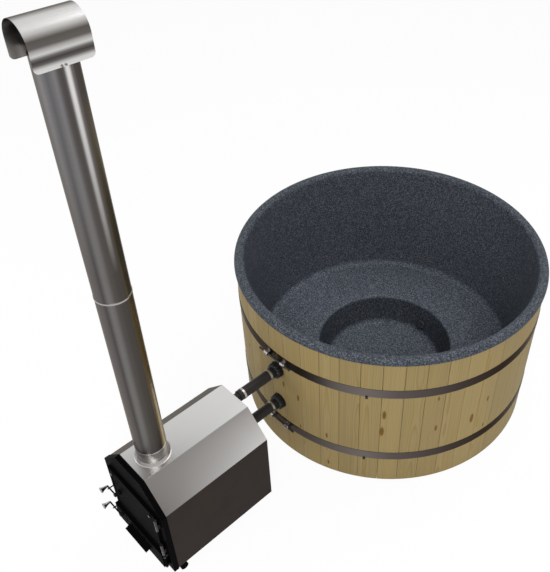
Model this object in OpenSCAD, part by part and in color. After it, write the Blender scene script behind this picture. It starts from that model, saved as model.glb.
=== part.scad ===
// Round wooden hot tub with a moulded liner and a wood-fired heater beside it.
// Millimetres, +Z up. The origin is the tub's centre on the ground.
// The heater stands on the -Y side with its doors facing -Y, and the drain is on the +Y side.

/* [Tub] */
// Radius of the staves' outer face at their top
tub_r = 906; // [800:1:1000]
// Height of the rim's crown above the ground
tub_h = 1008; // [920:1:1200]
// Number of staves round the tub
stave_count = 50; // [40:2:60]
// Thickness of a stave
stave_t = 26; // [20:1:30]
// How far the ring of staves narrows towards the ground
stave_lean = 8; // [2:1:16]
// Air gap under the staves
stave_lift = 8; // [4:1:30]
// Gap between two staves at the foot
stave_gap = 0.6; // [0.4:0.1:1.5]
// Depth of the bevel along a stave's edges
stave_bevel = 2; // [1:0.5:4]

/* [Liner] */
// Wall of the moulded liner
liner_t = 6; // [4:0.5:8]
// Half width of the rolled rim
rim_r = 30; // [26:1:40]
// How far the rolled rim stands out past the staves
rim_proud = 9; // [6:1:12]
// Height of the seat above the ground
seat_z = 236; // [200:1:320]
// How far the seat's edge lies inside the staves' outer face
seat_in = 115; // [90:1:150]
// Width of the seat
seat_w = 361; // [300:1:420]
// How far the foot well narrows from the seat down to its floor
well_narrowing = 64; // [20:1:90]
// Height of the foot well's floor above the ground
well_z = 45; // [39:1:80]

/* [Hoops] */
// Height of a hoop band
hoop_h = 59; // [40:1:80]
// Thickness of a hoop band
hoop_t = 2; // [1.5:0.5:3]
// How far the upper hoop's middle is above the upper hose
hoop_up_rise = 93; // [85:1:140]
// Height of the lower hoop's middle
hoop_low_z = 231; // [180:1:320]
// Half the distance between the two tensioning lugs of a hoop
lug_x = 61; // [50:1:90]
// Radius of the tensioning rod
rod_r = 6; // [4:0.5:7]
// Length of the tensioning rod
rod_len = 240; // [200:1:300]

/* [Water line] */
// How far the upper hose is below the heater's top
line_drop = 26; // [26:1:60]
// Height between the two hoses
line_pitch = 262; // [200:1:300]
// Outer radius of a hose
hose_r = 30; // [27:0.5:34]
// Wall of a hose
hose_t = 6; // [4:0.5:7]
// Radius of the hole through liner and stave
line_hole_r = 26; // [25.5:0.5:30]

/* [Drain] */
// Height of the drain hole up the foot well's wall
drain_up = 70; // [60:1:90]
// Outer radius of the drain pipe
drain_r = 19; // [16:0.5:20]
// Wall of the drain pipe
drain_t = 3; // [2:0.5:4]
// Length of the hose tail at the drain's end
tail_len = 42; // [35:1:60]

/* [Heater] */
// Distance from the staves to the heater's back
heater_gap = 298; // [250:1:400]
// Depth of the heater's casing
heater_len = 625; // [560:1:750]
// Width of the heater's casing
heater_w = 491; // [440:1:560]
// Width of the casing's flat top
heater_top_w = 209; // [180:1:240]
// Height of the casing's top
heater_h = 687; // [620:1:760]
// How far the casing's shoulders are below its top
shoulder_drop = 142; // [110:1:180]
// Height of the casing's floor above the ground
floor_z = 81; // [60:1:120]
// Thickness of the casing's sheet
sheet = 2; // [1.5:0.5:3]
// Depth of the cast front
front_d = 28; // [20:1:34]
// Clear water gap in the heater's jacket
water_gap = 38; // [25:1:45]
// Radius of an adjustable foot
foot_r = 20; // [16:1:26]
// How far the feet stand in from the casing's sides
foot_in = 70; // [50:1:90]
// How far the heater's drain is below the casing's floor
jacket_drain_drop = 30; // [26:1:36]

/* [Doors] */
// Margin between the fire door and each side of the casing
door_margin = 43.5; // [40:0.5:60]
// Height of the fire door's lower edge above the casing's floor
door_rise = 155; // [150:1:180]
// Margin between the fire door's upper edge and the casing's shoulders
door_top_margin = 5; // [4:1:40]
// Thickness of the fire door
door_t = 14; // [10:1:18]
// Margin between the fire door's edge and the opening behind it
mouth_margin = 56; // [54:1:80]
// Depth of the ash door's box
ash_d = 28; // [22:1:34]
// How far the hinge line is outside the fire door's edge
hinge_out = 16; // [14:1:20]
// Number of louvre slots in the ash door
louvre_count = 4; // [3:1:6]

/* [Flue] */
// Outer radius of the flue pipe
flue_r = 75; // [65:1:75]
// Wall of the flue pipe
flue_t = 1.5; // [1:0.5:3]
// Distance of the flue's axis behind the casing's front edge
flue_back = 119; // [105:1:150]
// Length of the lower pipe
flue_low_len = 1035; // [800:1:1200]
// Length of the upper pipe
flue_up_len = 1004; // [600:1:1200]
// Length of the rain cap
cap_len = 208; // [180:1:260]

/* [Hidden] */
$fn = 96;
// Circle steps where a small piece is fitted to the whole tub's round
round_fn = 720;
// Degrees in a full turn
turn = 360;
// Running clearance between pieces that only touch
fit_gap = 0.3;
// Radial clearance of a hinge pin in its barrel
pin_gap = 0.05;
// Overrun of a cut past the face that it opens
over = 5;
// Steps in a rounded corner of the liner's section
corner_steps = 8;
// Steps over the rolled rim
rim_steps = 16;

// Unit vector along v
function unit(v) = v / norm(v);
// Normal on the right-hand side of the direction d
function right_of(d) = [d.y, -d.x];
// Points of the arc of radius r that rounds the corner b between a and c
function rounded(a, b, c, r, steps) =
    let (u = unit(a - b), v = unit(c - b), half = acos(u * v) / 2,
         o = b + unit(u + v) * r / sin(half),
         s = b + u * r / tan(half) - o, e = b + v * r / tan(half) - o, w = 180 - 2 * half)
    [for (i = [0 : steps]) o + (s * sin(w * (1 - i / steps)) + e * sin(w * i / steps)) / sin(w)];
// An open path moved by t to its right-hand side
function shifted(path, t) = [for (i = [0 : len(path) - 1])
    let (d1 = i == 0 ? unit(path[1] - path[0]) : unit(path[i] - path[i - 1]),
         d2 = i == len(path) - 1 ? d1 : unit(path[i + 1] - path[i]),
         n1 = right_of(d1), n2 = right_of(d2))
    path[i] + t * (n1 + n2) / (1 + n1 * n2)];
// A closed anticlockwise outline drawn in by s
function inset(pts, s) = let (n = len(pts)) [for (i = [0 : n - 1])
    let (n1 = right_of(unit(pts[i] - pts[(i + n - 1) % n])),
         n2 = right_of(unit(pts[(i + 1) % n] - pts[i])))
    pts[i] - s * (n1 + n2) / (1 + n1 * n2)];
function reversed(list) = [for (i = [len(list) - 1 : -1 : 0]) list[i]];

// Main places worked out from the sizes above
seat_r = tub_r - seat_in;
well_top_r = seat_r - seat_w;
well_low_r = well_top_r - well_narrowing;
line_up_z = heater_h - line_drop;
hoop_up_z = line_up_z + hoop_up_rise;
heater_back = tub_r + heater_gap;
shoulder_z = heater_h - shoulder_drop;
door_w = heater_w - 2 * door_margin;
door_low_z = floor_z + door_rise;
door_up_z = shoulder_z - door_top_margin;
mouth_x = door_w / 2 - mouth_margin;
hinge_x = door_w / 2 + hinge_out;

// Rolled rim: a half round of radius rim_r whose outer side is rim_proud past the staves
rim_z = tub_h - rim_r;
rim_c = tub_r + rim_proud - rim_r;
lip_drop = 2;
stave_seat = 0.9;
rim_low_z = rim_z - lip_drop;
// The staves' tops meet the inside of the rolled rim
stave_top = rim_z + sqrt(pow(rim_r - liner_t, 2) - pow(tub_r - rim_c, 2)) - stave_seat;
stave_len = stave_top - stave_lift;
lean_a = atan(stave_lean / stave_len);
stave_a = turn / stave_count;
stave_steps = 4;
// Radius of the staves' outer face at height z
function wood_r(z) = tub_r - stave_lean * (stave_top - z) / stave_len;
// Radius of the liner's water side on the wall at height z
wall_slope = (rim_c - rim_r - seat_r) / (rim_z - seat_z);
function wall_r(z) = seat_r + (z - seat_z) * wall_slope;
well_fillet = 40;
bench_fillet = 20;
seat_fillet = 40;
// Water side of the liner, from its centre to the lip outside the staves
liner_corners = [[0, well_z], [well_low_r, well_z], [well_top_r, seat_z], [seat_r, seat_z],
    [rim_c - rim_r, rim_z]];
liner_path = concat(
    [liner_corners[0]],
    rounded(liner_corners[0], liner_corners[1], liner_corners[2], well_fillet, corner_steps),
    rounded(liner_corners[1], liner_corners[2], liner_corners[3], bench_fillet, corner_steps),
    rounded(liner_corners[2], liner_corners[3], liner_corners[4], seat_fillet, corner_steps),
    [for (i = [0 : rim_steps]) let (a = turn / 2 * i / rim_steps) [rim_c, rim_z] + rim_r * [-cos(a), sin(a)]],
    [[rim_c + rim_r, rim_low_z]]);

// Base under the liner
bearer_h = 21;
bearer_w = 120;
bearer_x = 430;
board_h = well_z - liner_t - bearer_h - fit_gap;
board_w = 138;
board_gap = 5;
base_r = wood_r(bearer_h) - stave_t - fit_gap;
post_w = 45;
post_r = (well_top_r + seat_r) / 2;
post_count = 8;

// Hoop furniture
band_in_r = fit_gap;
// Half the gap that is left between a hoop's drawn-up ends
hoop_open_x = 3;
lug_len = 22;
lug_r = 12;
rod_out = 17;
rod_nut_af = 19;
nut_af = 17;
nut_h = 9;
clip_a0 = 304.6;
clip_count = 4;
clip_w = 14;
clip_h = 19;
clip_screw_drop = 11.5;
clip_t = 2.5;
clip_lip = 6;
pad_r = 3;

// Water line through the wall
tail_r = hose_r - hose_t - fit_gap / 2;
line_r = line_hole_r - 2 * fit_gap;
line_wall = 5;
line_bore_r = line_r - line_wall;
barb_h = 1;
flange_r = 45;
flange_h = 6;
gasket_least = 2;
// How far the wall leans and curves away behind a flange
flange_back = flange_r * wall_slope + flange_r * flange_r / 2 / seat_r + gasket_least;
// Outer nut of a union: a flange on the wood, a fluted grip and a slimmer neck up to the hose
union_nut_r = 48;
union_flange_t = 5;
grip_r = 42;
grip_len = 27;
neck_r = 34;
flute_count = 12;
flute_r = 8;
flute_depth = 2;
union_reach = 46;
stub_reach = 24;
hose_grip = 50;
hose_start = tub_r + union_reach;
hose_end = heater_back - stub_reach;
tail_start = hose_end - hose_grip;
clamp_w = 12;
clamp_t = 1.5;
// Distances of a hose's two clamps from its ends
clamp_in = 19;
clamp_back = 27;
// Side of the hose that a clamp's screw is on
clamp_turn = 215;
barb_count = 3;
barb_pitch = 10;
barb_len = 5;
grille_r = 50;
grille_h = 14;
grille_t = 3;
grille_slots = 5;
grille_slot_w = 5;
grille_pitch = 12;
grille_slot_len = 110;
// The lower line keeps clear of the seat's corner and of the lower hoop
line_low_z = max(line_up_z - line_pitch, seat_z + seat_fillet + grille_r, hoop_low_z + hoop_h / 2 + union_nut_r);
stub_r = 20;
stub_t = 3;

// Drain line: out through the foot well's wall, then level under the seat
well_tilt = atan((well_top_r - well_low_r) / (seat_z - well_z));
drain_hole = [well_low_r + drain_up * sin(well_tilt), well_z + drain_up * cos(well_tilt)];
drain_stub = 34;
drain_bend = 60;
// Lap that makes one solid of the drain pipe's bend and its straight ends
joint_lap = 0.01;
socket_len = 14;
socket_r = drain_r + fit_gap / 2;
// How far the hose tail stands out past the drain pipe's radius
tail_rise = 1;
drain_flange_r = 36;
drain_flange_h = 4;
// How far the round wall curves in at the drain flange's edge
drain_back = drain_flange_r * drain_flange_r / 2 / well_low_r + fit_gap;
drain_nut_h = 10;
drain_tail_r = drain_r + tail_rise;
drain_start = drain_hole.x + drain_stub * cos(well_tilt) + drain_bend * sin(well_tilt);
drain_z = drain_hole.y - drain_stub * sin(well_tilt) - drain_bend * (1 - cos(well_tilt));
strainer_h = 6;
valve_half = 44;
valve_out = 72;
valve_y = tub_r + valve_out;
drain_end = valve_y - valve_half + socket_len - fit_gap;
valve_r = 32;
ball_r = 24;
ball_bore_r = drain_r - 2 * drain_t;
stem_r = 6;
stem_h = 62;
tongue_x = stem_r / 3;
tongue_y = stem_r * 5 / 6;
gland_r = 12;
gland_h = 44;
lever_len = 120;
lever_w = 20;
lever_t = 5;
seat_ring = 4;

// Heater casing: six-cornered section, anticlockwise from the lower left
casing = [[-heater_w / 2, floor_z], [heater_w / 2, floor_z], [heater_w / 2, shoulder_z],
    [heater_top_w / 2, heater_h], [-heater_top_w / 2, heater_h], [-heater_w / 2, shoulder_z]];
heater_front = heater_back + heater_len;
face_y = heater_front + front_d;
jacket_in = sheet + fit_gap;
skin = 3;
fire_in = jacket_in + 2 * skin + water_gap;
jacket_back_gap = 16;
jacket_back = heater_back + jacket_back_gap;
fire_back = jacket_back + 2 * skin + water_gap;
fire_floor = floor_z + fire_in;
plate_t = 8;
plate_over = 3;
boss_r = 12;
boss_h = 14;
jacket_front = face_y - plate_t - fit_gap;
grate_rise = 92;
grate_z = fire_floor + grate_rise;
grate_t = 14;
grate_bar = 12;
grate_slot = 14;
grate_margin = 22;
grate_side_gap = 2;
grate_end_gap = 4;
ledge_w = 18;
ledge_t = 5;
pan_h = 68;
pan_t = 2;
pan_side_gap = 4;
pan_back_gap = 20;
pan_front_gap = 10;
// Places of the feet
foot_end_in = 110;
foot_x = heater_w / 2 - foot_in;
foot_front = heater_front - foot_end_in;
foot_rear = heater_back + foot_end_in;
pad_h = 24;
foot_stem_r = 6;
locknut_h = 8;
// Drain of the jacket: a bent stub under the right side, shut by a screwed cap
jacket_drain_r = 15;
jacket_drain_side = 40;
jacket_drain_back = 33;
jacket_drain_x = heater_w / 2 - jacket_drain_side;
jacket_drain_y = heater_front - jacket_drain_back;
jacket_drain_z = floor_z - jacket_drain_drop;
plug_r = 21;
plug_len = 22;
plug_t = 7;
plug_dish_r = 14;
plug_dish = 3;

// Doors
door_seat = 1;
door_back = face_y + door_seat;
door_face = door_back + door_t;
ash_rise = 29;
door_gap = 10;
ash_side = 8;
ash_low_z = floor_z + ash_rise;
ash_up_z = door_low_z - door_gap;
ash_x = door_w / 2 + ash_side;
ash_wall = 6;
ash_face = door_back + ash_d;
mouth_low_margin = 24;
mouth_up_margin = 26;
door_mouth_low = door_low_z + mouth_low_margin;
door_mouth_up = door_up_z - mouth_up_margin;
ash_mouth_low = fire_floor + ash_wall;
ash_mouth_up = ash_up_z - 2 * ash_wall;
hinge_stand = 18;
hinge_y = face_y + hinge_stand;
hinge_r = 8;
ash_hinge_r = 7;
hinge_len = 86;
hinge_low_drop = 4;
hinge_up_drop = 6;
hinge_low_zs = [door_low_z - hinge_low_drop, door_up_z - hinge_len - hinge_up_drop];
hinge_pin_r = 4;
hinge_head = 6;
leaf_t = 5;
bolt_side = 19;
bolt_drop = 28;
bolt_x = mouth_x + bolt_side;
bolt_z = door_up_z - bolt_drop;
bolt_r = 8;
bolt_boss_r = 16;
bolt_h = 6;
shank_r = 4;
baffle_side_gap = 14;
baffle_end_gap = 10;
baffle_leg_in = 40;
baffle_x = mouth_x - baffle_side_gap;
baffle_t = 4;
baffle_off = 16;
rope_w = 9;
rope_d = 6;
rope_margin = 11;
border_w = 14;
border_h = 3;
// Finger ledge of the ash door
lip_margin = 115;
lip_rise = 46;
lip_x = ash_x - lip_margin;
lip_d = 28;
lip_t = 5;
lip_z = ash_low_z + lip_rise;
lip_fall = 10;
louvre_w = 9;
louvre_x = -31;
louvre_rise = 8;
louvre_z = lip_z + louvre_rise;
louvre_h = 46;
louvre_pitch = 54;
// Barrel of the ash door and the ears of its pin
ash_barrel_low = 18;
ash_barrel_up = 24;
ash_barrel_z = [ash_low_z + ash_barrel_low, ash_up_z - ash_barrel_up];
ear_h = 10;

// Latches: a hub on a pivot, a bar that rests on a keeper, and a turned knob on its end
bar_r = 4;
hub_r = 11;
hub_boss_r = 16.5;
// Places of the hubs from their doors' left edge and lower edge, and the bars' reach
fire_hub_in = 55;
fire_hub_rise = 134;
fire_reach = 75;
ash_hub_in = 60;
ash_hub_rise = 80;
ash_reach = 107;
fire_hub = [fire_hub_in - door_w / 2, door_low_z + fire_hub_rise];
fire_tip_x = fire_hub.x - fire_reach;
ash_hub = [ash_hub_in - ash_x, ash_low_z + ash_hub_rise];
ash_tip_x = ash_hub.x - ash_reach;
hub_gap = 0.5;
pivot_r = 4;
pivot_head_r = 8;
pivot_head_h = 3;
// The fire door's pivot stops in front of the rope groove
pivot_skin = 1;
pivot_seat = rope_d + pivot_skin;
// How far a bar's axis is in front of its door, and from the tub's centre
fire_bar_out = 21;
ash_bar_out = 9;
fire_bar = door_face + fire_bar_out;
ash_bar = ash_face + ash_bar_out;
keeper_r = 3.5;
keeper_gap = 4;
knob_stand = 5;
knob_len = 30;
knob_neck_r = 5.5;
knob_r = 10;
knob_round = 3;
knob_end = 10;
flare_steps = 6;

// Flue
flue_y = heater_front - flue_back;
flue_seat = 4;
flue_low_z = heater_h + flue_seat;
joint_z = flue_low_z + flue_low_len;
flue_top_z = joint_z + flue_up_len;
spigot_r = flue_r - flue_t - fit_gap;
spigot_len = 40;
spigot_up = 50;
spigot_top = heater_h + spigot_up;
collar_w = 15;
collar_r = flue_r + collar_w;
collar_h = 20;
band_h = 8;
band_t = 1.5;
band_half = band_h / 2;
cap_t = 1.5;
cap_r = flue_r + fit_gap + cap_t;
cap_rise = 46;
cap_hang = 30;
cap_axis_z = flue_top_z + cap_rise;
cap_low_z = flue_top_z - cap_hang;
cap_corner = 18;
screw_x = 14;
screw_r = 4;
screw_h = 3;

// Places children with their z axis along -Y, at height z
module toward_heater(z) translate([0, 0, z]) rotate([90, 0, 0]) children();
// Places children with their z axis along +Y, at height z
module toward_drain(z) translate([0, 0, z]) rotate([-90, 0, 0]) children();
// Prism of an x-z outline between two distances in front of the tub's centre
module prism(pts, near, far) toward_heater(0) translate([0, 0, near])
    linear_extrude(far - near) polygon(pts);
// Block between two x, two distances towards the heater's front, and two heights
module block(x, y, z) translate([x[0], -y[1], z[0]]) cube([x[1] - x[0], y[1] - y[0], z[1] - z[0]]);
// Tube along z
module tube(r, t, z0, z1) difference() {
    translate([0, 0, z0]) cylinder(r = r, h = z1 - z0);
    translate([0, 0, z0 - over]) cylinder(r = r - t, h = z1 - z0 + 2 * over);
}
// Everything outside the staves' outer face, moved out by gap, seen as a cutter for seated pieces
module wood_cone(z0, z1, gap) translate([0, 0, z0])
    cylinder(r1 = wood_r(z0) + gap, r2 = wood_r(z1) + gap, h = z1 - z0, $fn = round_fn);

module stave_section() {
    half_a = stave_a / 2 - turn * stave_bevel / (2 * PI * tub_r);
    edge = function (x) (tub_r - stave_lean + x) * tan(stave_a / 2) - stave_gap / 2;
    arc = [for (i = [0 : stave_steps]) let (a = half_a * (2 * i / stave_steps - 1))
        tub_r * [cos(a) - 1, sin(a)]];
    side = arc[0].x - stave_bevel;
    polygon(concat([[-stave_t, -edge(-stave_t)], [side, -edge(side)]], arc,
        [[side, edge(side)], [-stave_t, edge(-stave_t)]]));
}
module stave() translate([tub_r, 0, stave_top]) rotate([0, lean_a, 0])
    translate([0, 0, -stave_len]) linear_extrude(stave_len) stave_section();
module staves() color("burlywood")
    boards([for (k = [1 : stave_count - 1]) if (k != stave_count / 2) k]);
// The board that the water line goes through, and the one over the drain pipe
module bored_staves() color("burlywood") boards([0, stave_count / 2]);
// Boards number ks, counted round the tub from the heater's side
module boards(ks) for (k = ks)
    difference() {
        rotate(k * stave_a - 90) stave();
        if (k == 0) for (z = [line_up_z, line_low_z])
            toward_heater(z) translate([0, 0, tub_r / 2]) cylinder(r = line_hole_r, h = tub_r);
        if (k == stave_count / 2)
            toward_drain(drain_z) translate([0, 0, tub_r / 2]) cylinder(r = drain_r + fit_gap, h = tub_r);
    }

// Places children on the foot well's wall at the drain hole, with z pointing out of the water
module at_drain_hole() translate([0, drain_hole.x, drain_hole.y]) rotate([-90 - well_tilt, 0, 0]) children();
module liner() color("slategray") difference() {
    rotate_extrude($fn = 144) polygon(concat(liner_path, reversed(shifted(liner_path, liner_t))));
    for (z = [line_up_z, line_low_z])
        toward_heater(z) translate([0, 0, seat_r / 2]) cylinder(r = line_hole_r, h = tub_r);
    at_drain_hole() translate([0, 0, -drain_stub]) cylinder(r = drain_r + fit_gap, h = 2 * drain_stub);
}

module hoop(z) {
    z0 = z - hoop_h / 2;
    z1 = z + hoop_h / 2;
    open_a = asin(hoop_open_x / wood_r(z));
    rotate(open_a - 90) rotate_extrude(angle = turn - 2 * open_a, $fn = 180) polygon([
        [wood_r(z0) + band_in_r, z0], [wood_r(z0) + band_in_r + hoop_t, z0],
        [wood_r(z1) + band_in_r + hoop_t, z1], [wood_r(z1) + band_in_r, z1]]);
}
module upper_hoop() color("dimgray") hoop(hoop_up_z);
module lower_hoop() color("dimgray") hoop(hoop_low_z);

// Distance of the tensioning rod's axis from the tub's centre
function rod_y(z) = wood_r(z) + band_in_r + hoop_t + rod_out;
module hoop_lug(side, z) {
    x0 = side * lug_x - lug_len / 2;
    difference() {
        union() {
            translate([x0, -rod_y(z), z]) rotate([0, 90, 0]) cylinder(r = lug_r, h = lug_len);
            translate([x0, -rod_y(z), z - lug_r]) cube([lug_len, rod_out + hoop_t, 2 * lug_r]);
            block([x0, x0 + lug_len], [wood_r(z) - hoop_t, wood_r(z) + band_in_r + 2 * hoop_t],
                [z - hoop_h / 2 + pad_r, z + hoop_h / 2 - pad_r]);
        }
        wood_cone(z - hoop_h, z + hoop_h, band_in_r + hoop_t + fit_gap / 3);
        translate([x0 - over, -rod_y(z), z]) rotate([0, 90, 0])
            cylinder(r = rod_r + fit_gap, h = lug_len + 2 * over);
    }
}
module hoop_lugs() color("silver") for (z = [hoop_up_z, hoop_low_z], side = [-1, 1]) hoop_lug(side, z);
module hoop_rods() color("darkslategray") for (z = [hoop_up_z, hoop_low_z])
    translate([-rod_len / 2, -rod_y(z), z]) rotate([0, 90, 0]) cylinder(r = rod_r, h = rod_len);
module hoop_nuts() color("silver") for (z = [hoop_up_z, hoop_low_z], side = [-1, 1])
    translate([side * (lug_x + lug_len / 2 + nut_h / 2 + fit_gap), -rod_y(z), z])
        rotate([0, 90, 0]) difference() {
        cylinder(r = rod_nut_af / sqrt(3), h = nut_h, center = true, $fn = 6);
        cylinder(r = rod_r + fit_gap / 2, h = nut_h + over, center = true);
    }
// A small bracket under the band's lower edge
module hoop_clip(z) {
    low = z - hoop_h / 2 - fit_gap;
    face = wood_r(low) + fit_gap;
    translate([face, -clip_w / 2, low - clip_h]) cube([clip_t, clip_w, clip_h]);
    translate([face, -clip_w / 2, low - clip_t]) cube([clip_t + clip_lip, clip_w, clip_t]);
    translate([face, 0, low - clip_screw_drop]) rotate([0, 90, 0]) cylinder(r = screw_r, h = clip_t + screw_h);
}
module hoop_clips() color("black") for (z = [hoop_up_z, hoop_low_z], k = [0 : clip_count - 1])
    rotate(clip_a0 + k * turn / clip_count) hoop_clip(z);

module base_bearers() color("peru") for (x = [-bearer_x, 0, bearer_x]) {
    half = sqrt(pow(base_r, 2) - pow(abs(x) + bearer_w / 2, 2)) - over;
    translate([x - bearer_w / 2, -half, 0]) cube([bearer_w, 2 * half, bearer_h]);
}
module base_boards() color("peru") intersection() {
    translate([0, 0, bearer_h]) cylinder(r = base_r, h = board_h);
    for (k = [-ceil(base_r / board_w) : ceil(base_r / board_w)])
        translate([-base_r, (k - 1 / 2) * (board_w + board_gap), bearer_h])
            cube([2 * base_r, board_w, board_h]);
}
module bench_posts() color("peru") for (k = [0 : post_count - 1])
    rotate((k + 1 / 2) * turn / post_count) translate([post_r - post_w / 2, -post_w / 2, bearer_h + board_h])
        cube([post_w, post_w, seat_z - liner_t - fit_gap - bearer_h - board_h]);

// Everything outside the foot well's wall, moved in by the clearance
module behind_well() rotate_extrude($fn = round_fn) polygon([[well_low_r - fit_gap, well_z],
    [well_top_r - fit_gap, seat_z], [seat_r, seat_z], [seat_r, well_z]]);
module drain_fitting() color("dimgray") {
    difference() {
        at_drain_hole() translate([0, 0, -drain_back - drain_flange_h])
            cylinder(r = drain_flange_r, h = 2 * drain_flange_h);
        behind_well();
        at_drain_hole() cylinder(r = drain_r - drain_t, h = 4 * drain_flange_h, center = true);
    }
    at_drain_hole() difference() {
        translate([0, 0, -drain_back - drain_flange_h])
            cylinder(r = drain_r, h = drain_back + drain_flange_h + drain_stub - fit_gap);
        translate([0, 0, -3 * drain_flange_h]) cylinder(r = drain_r - drain_t, h = 2 * drain_stub);
    }
}
module drain_nut() color("dimgray") at_drain_hole() translate([0, 0, liner_t + fit_gap]) difference() {
    cylinder(r = drain_flange_r, h = drain_nut_h, $fn = 8);
    translate([0, 0, -over]) cylinder(r = drain_r + fit_gap / 2, h = drain_nut_h + 2 * over);
}
// Domed strainer over the drain flange, with radial slots
module drain_strainer() color("silver") at_drain_hole() mirror([0, 0, 1])
    translate([0, 0, drain_back + drain_flange_h + fit_gap]) difference() {
        cylinder(r1 = drain_flange_r - over / 2, r2 = drain_flange_r - 2 * over, h = strainer_h);
        translate([0, 0, -over]) cylinder(r = drain_r, h = over + strainer_h - grille_t);
        for (k = [0 : 2]) rotate(k * turn / 6) for (s = [-1, 1])
            translate([s * drain_r / 2, 0, 0])
                cube([drain_r / 2, grille_slot_w, 3 * strainer_h], center = true);
    }
// The pipe bends from the wall's tilt to level and runs out under the seat
module drain_run(r, past) {
    at_drain_hole() translate([0, 0, drain_stub]) mirror([0, 0, 1]) cylinder(r = r, h = past);
    translate([0, drain_start, drain_z + drain_bend]) rotate([0, 90, 0]) rotate([0, 0, -well_tilt])
        rotate_extrude(angle = well_tilt) translate([drain_bend, 0]) circle(r = r);
    toward_drain(drain_z) translate([0, 0, drain_start])
        cylinder(r = r, h = drain_end - drain_start + past);
}
// The pipe starts in a socket that slides over the fitting's tail
module drain_pipe() color("gray") difference() {
    union() {
        drain_run(drain_r, joint_lap);
        at_drain_hole() translate([0, 0, drain_stub - socket_len])
            cylinder(r = socket_r + drain_t, h = socket_len + drain_t);
    }
    drain_run(drain_r - drain_t, over);
    at_drain_hole() translate([0, 0, drain_stub - 2 * socket_len]) cylinder(r = socket_r, h = 2 * socket_len);
}
module valve_body() color("goldenrod") difference() {
    union() {
        toward_drain(drain_z) translate([0, 0, valve_y - valve_half])
            cylinder(r = valve_r, h = valve_half + ball_r);
        translate([0, valve_y, drain_z]) cylinder(r = gland_r, h = gland_h);
    }
    translate([0, valve_y, drain_z]) sphere(r = ball_r + fit_gap);
    toward_drain(drain_z) translate([0, 0, valve_y]) cylinder(r = ball_r + fit_gap, h = 2 * valve_half);
    toward_drain(drain_z) translate([0, 0, valve_y - 2 * valve_half]) {
        cylinder(r = ball_bore_r, h = 2 * valve_half);
        cylinder(r = socket_r, h = valve_half + socket_len);
    }
    translate([0, valve_y, drain_z]) cylinder(r = stem_r + pin_gap, h = 2 * stem_h);
}
module valve_tail() color("goldenrod") difference() {
    union() {
        toward_drain(drain_z) translate([0, 0, valve_y + ball_r + fit_gap])
            cylinder(r = valve_r, h = valve_half - ball_r, $fn = 8);
        toward_drain(drain_z) translate([0, 0, valve_y + 2 * seat_ring])
            cylinder(r = ball_r, h = valve_half - seat_ring);
        toward_drain(drain_z) translate([0, 0, valve_y + valve_half])
            cylinder(r = drain_tail_r, h = tail_len);
    }
    translate([0, valve_y, drain_z]) sphere(r = ball_r + fit_gap);
    toward_drain(drain_z) translate([0, 0, valve_y]) cylinder(r = ball_bore_r, h = 2 * valve_half + tail_len);
}
// Shut at rest: the bore lies across the pipe
module valve_ball() color("silver") translate([0, valve_y, drain_z]) difference() {
    sphere(r = ball_r);
    rotate([0, 90, 0]) cylinder(r = ball_bore_r, h = 3 * ball_r, center = true);
    translate([0, 0, ball_r - seat_ring]) cylinder(r = 2 * ball_r, h = ball_r);
    translate([-tongue_x - fit_gap, -tongue_y - fit_gap, ball_r - 2 * seat_ring])
        cube([2 * (tongue_x + fit_gap), 2 * (tongue_y + fit_gap), ball_r]);
}
// Stem with a flat tongue in the ball, and a nut that holds the lever
module valve_stem() color("silver") translate([0, valve_y, drain_z]) {
    translate([0, 0, ball_r - seat_ring + fit_gap])
        cylinder(r = stem_r, h = stem_h - ball_r + seat_ring - fit_gap);
    translate([-tongue_x, -tongue_y, ball_r - 2 * seat_ring + fit_gap])
        cube([2 * tongue_x, 2 * tongue_y, 2 * seat_ring]);
    translate([0, 0, stem_h]) cylinder(r = nut_af / sqrt(3), h = nut_h, $fn = 6);
}
// Flat lever, raised over the valve's neck, with a rounded end
module valve_lever() color("firebrick") translate([0, valve_y, drain_z]) difference() {
    union() {
        translate([0, 0, gland_h + fit_gap]) cylinder(r = gland_r, h = stem_h - gland_h - 2 * fit_gap);
        translate([-lever_len, -lever_w / 2, stem_h - lever_t]) cube([lever_len, lever_w, lever_t - fit_gap]);
        translate([-lever_len, 0, stem_h - lever_t]) cylinder(r = lever_w / 2, h = lever_t - fit_gap);
    }
    cylinder(r = stem_r + pin_gap, h = 2 * stem_h);
}

// Through-wall fitting: inner flange, threaded barrel and barbed tail, with d measured from the tub's centre
module union_fitting(z) {
    d0 = wall_r(z) - flange_back - flange_h;
    toward_heater(z) difference() {
        union() {
            translate([0, 0, d0]) cylinder(r = flange_r, h = flange_h);
            translate([0, 0, d0]) cylinder(r = line_r, h = hose_start - d0);
            translate([0, 0, hose_start - over])
                cylinder(r = min(tail_r - barb_h, line_r), h = clamp_in + clamp_w + 2 * over);
            for (k = [0 : barb_count - 1]) translate([0, 0, hose_start + barb_len + k * barb_pitch])
                cylinder(r1 = tail_r, r2 = tail_r - barb_h, h = barb_len);
        }
        translate([0, 0, d0 - over]) cylinder(r = line_bore_r, h = tub_r);
    }
}
module wall_unions() color("black") for (z = [line_up_z, line_low_z]) union_fitting(z);
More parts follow.
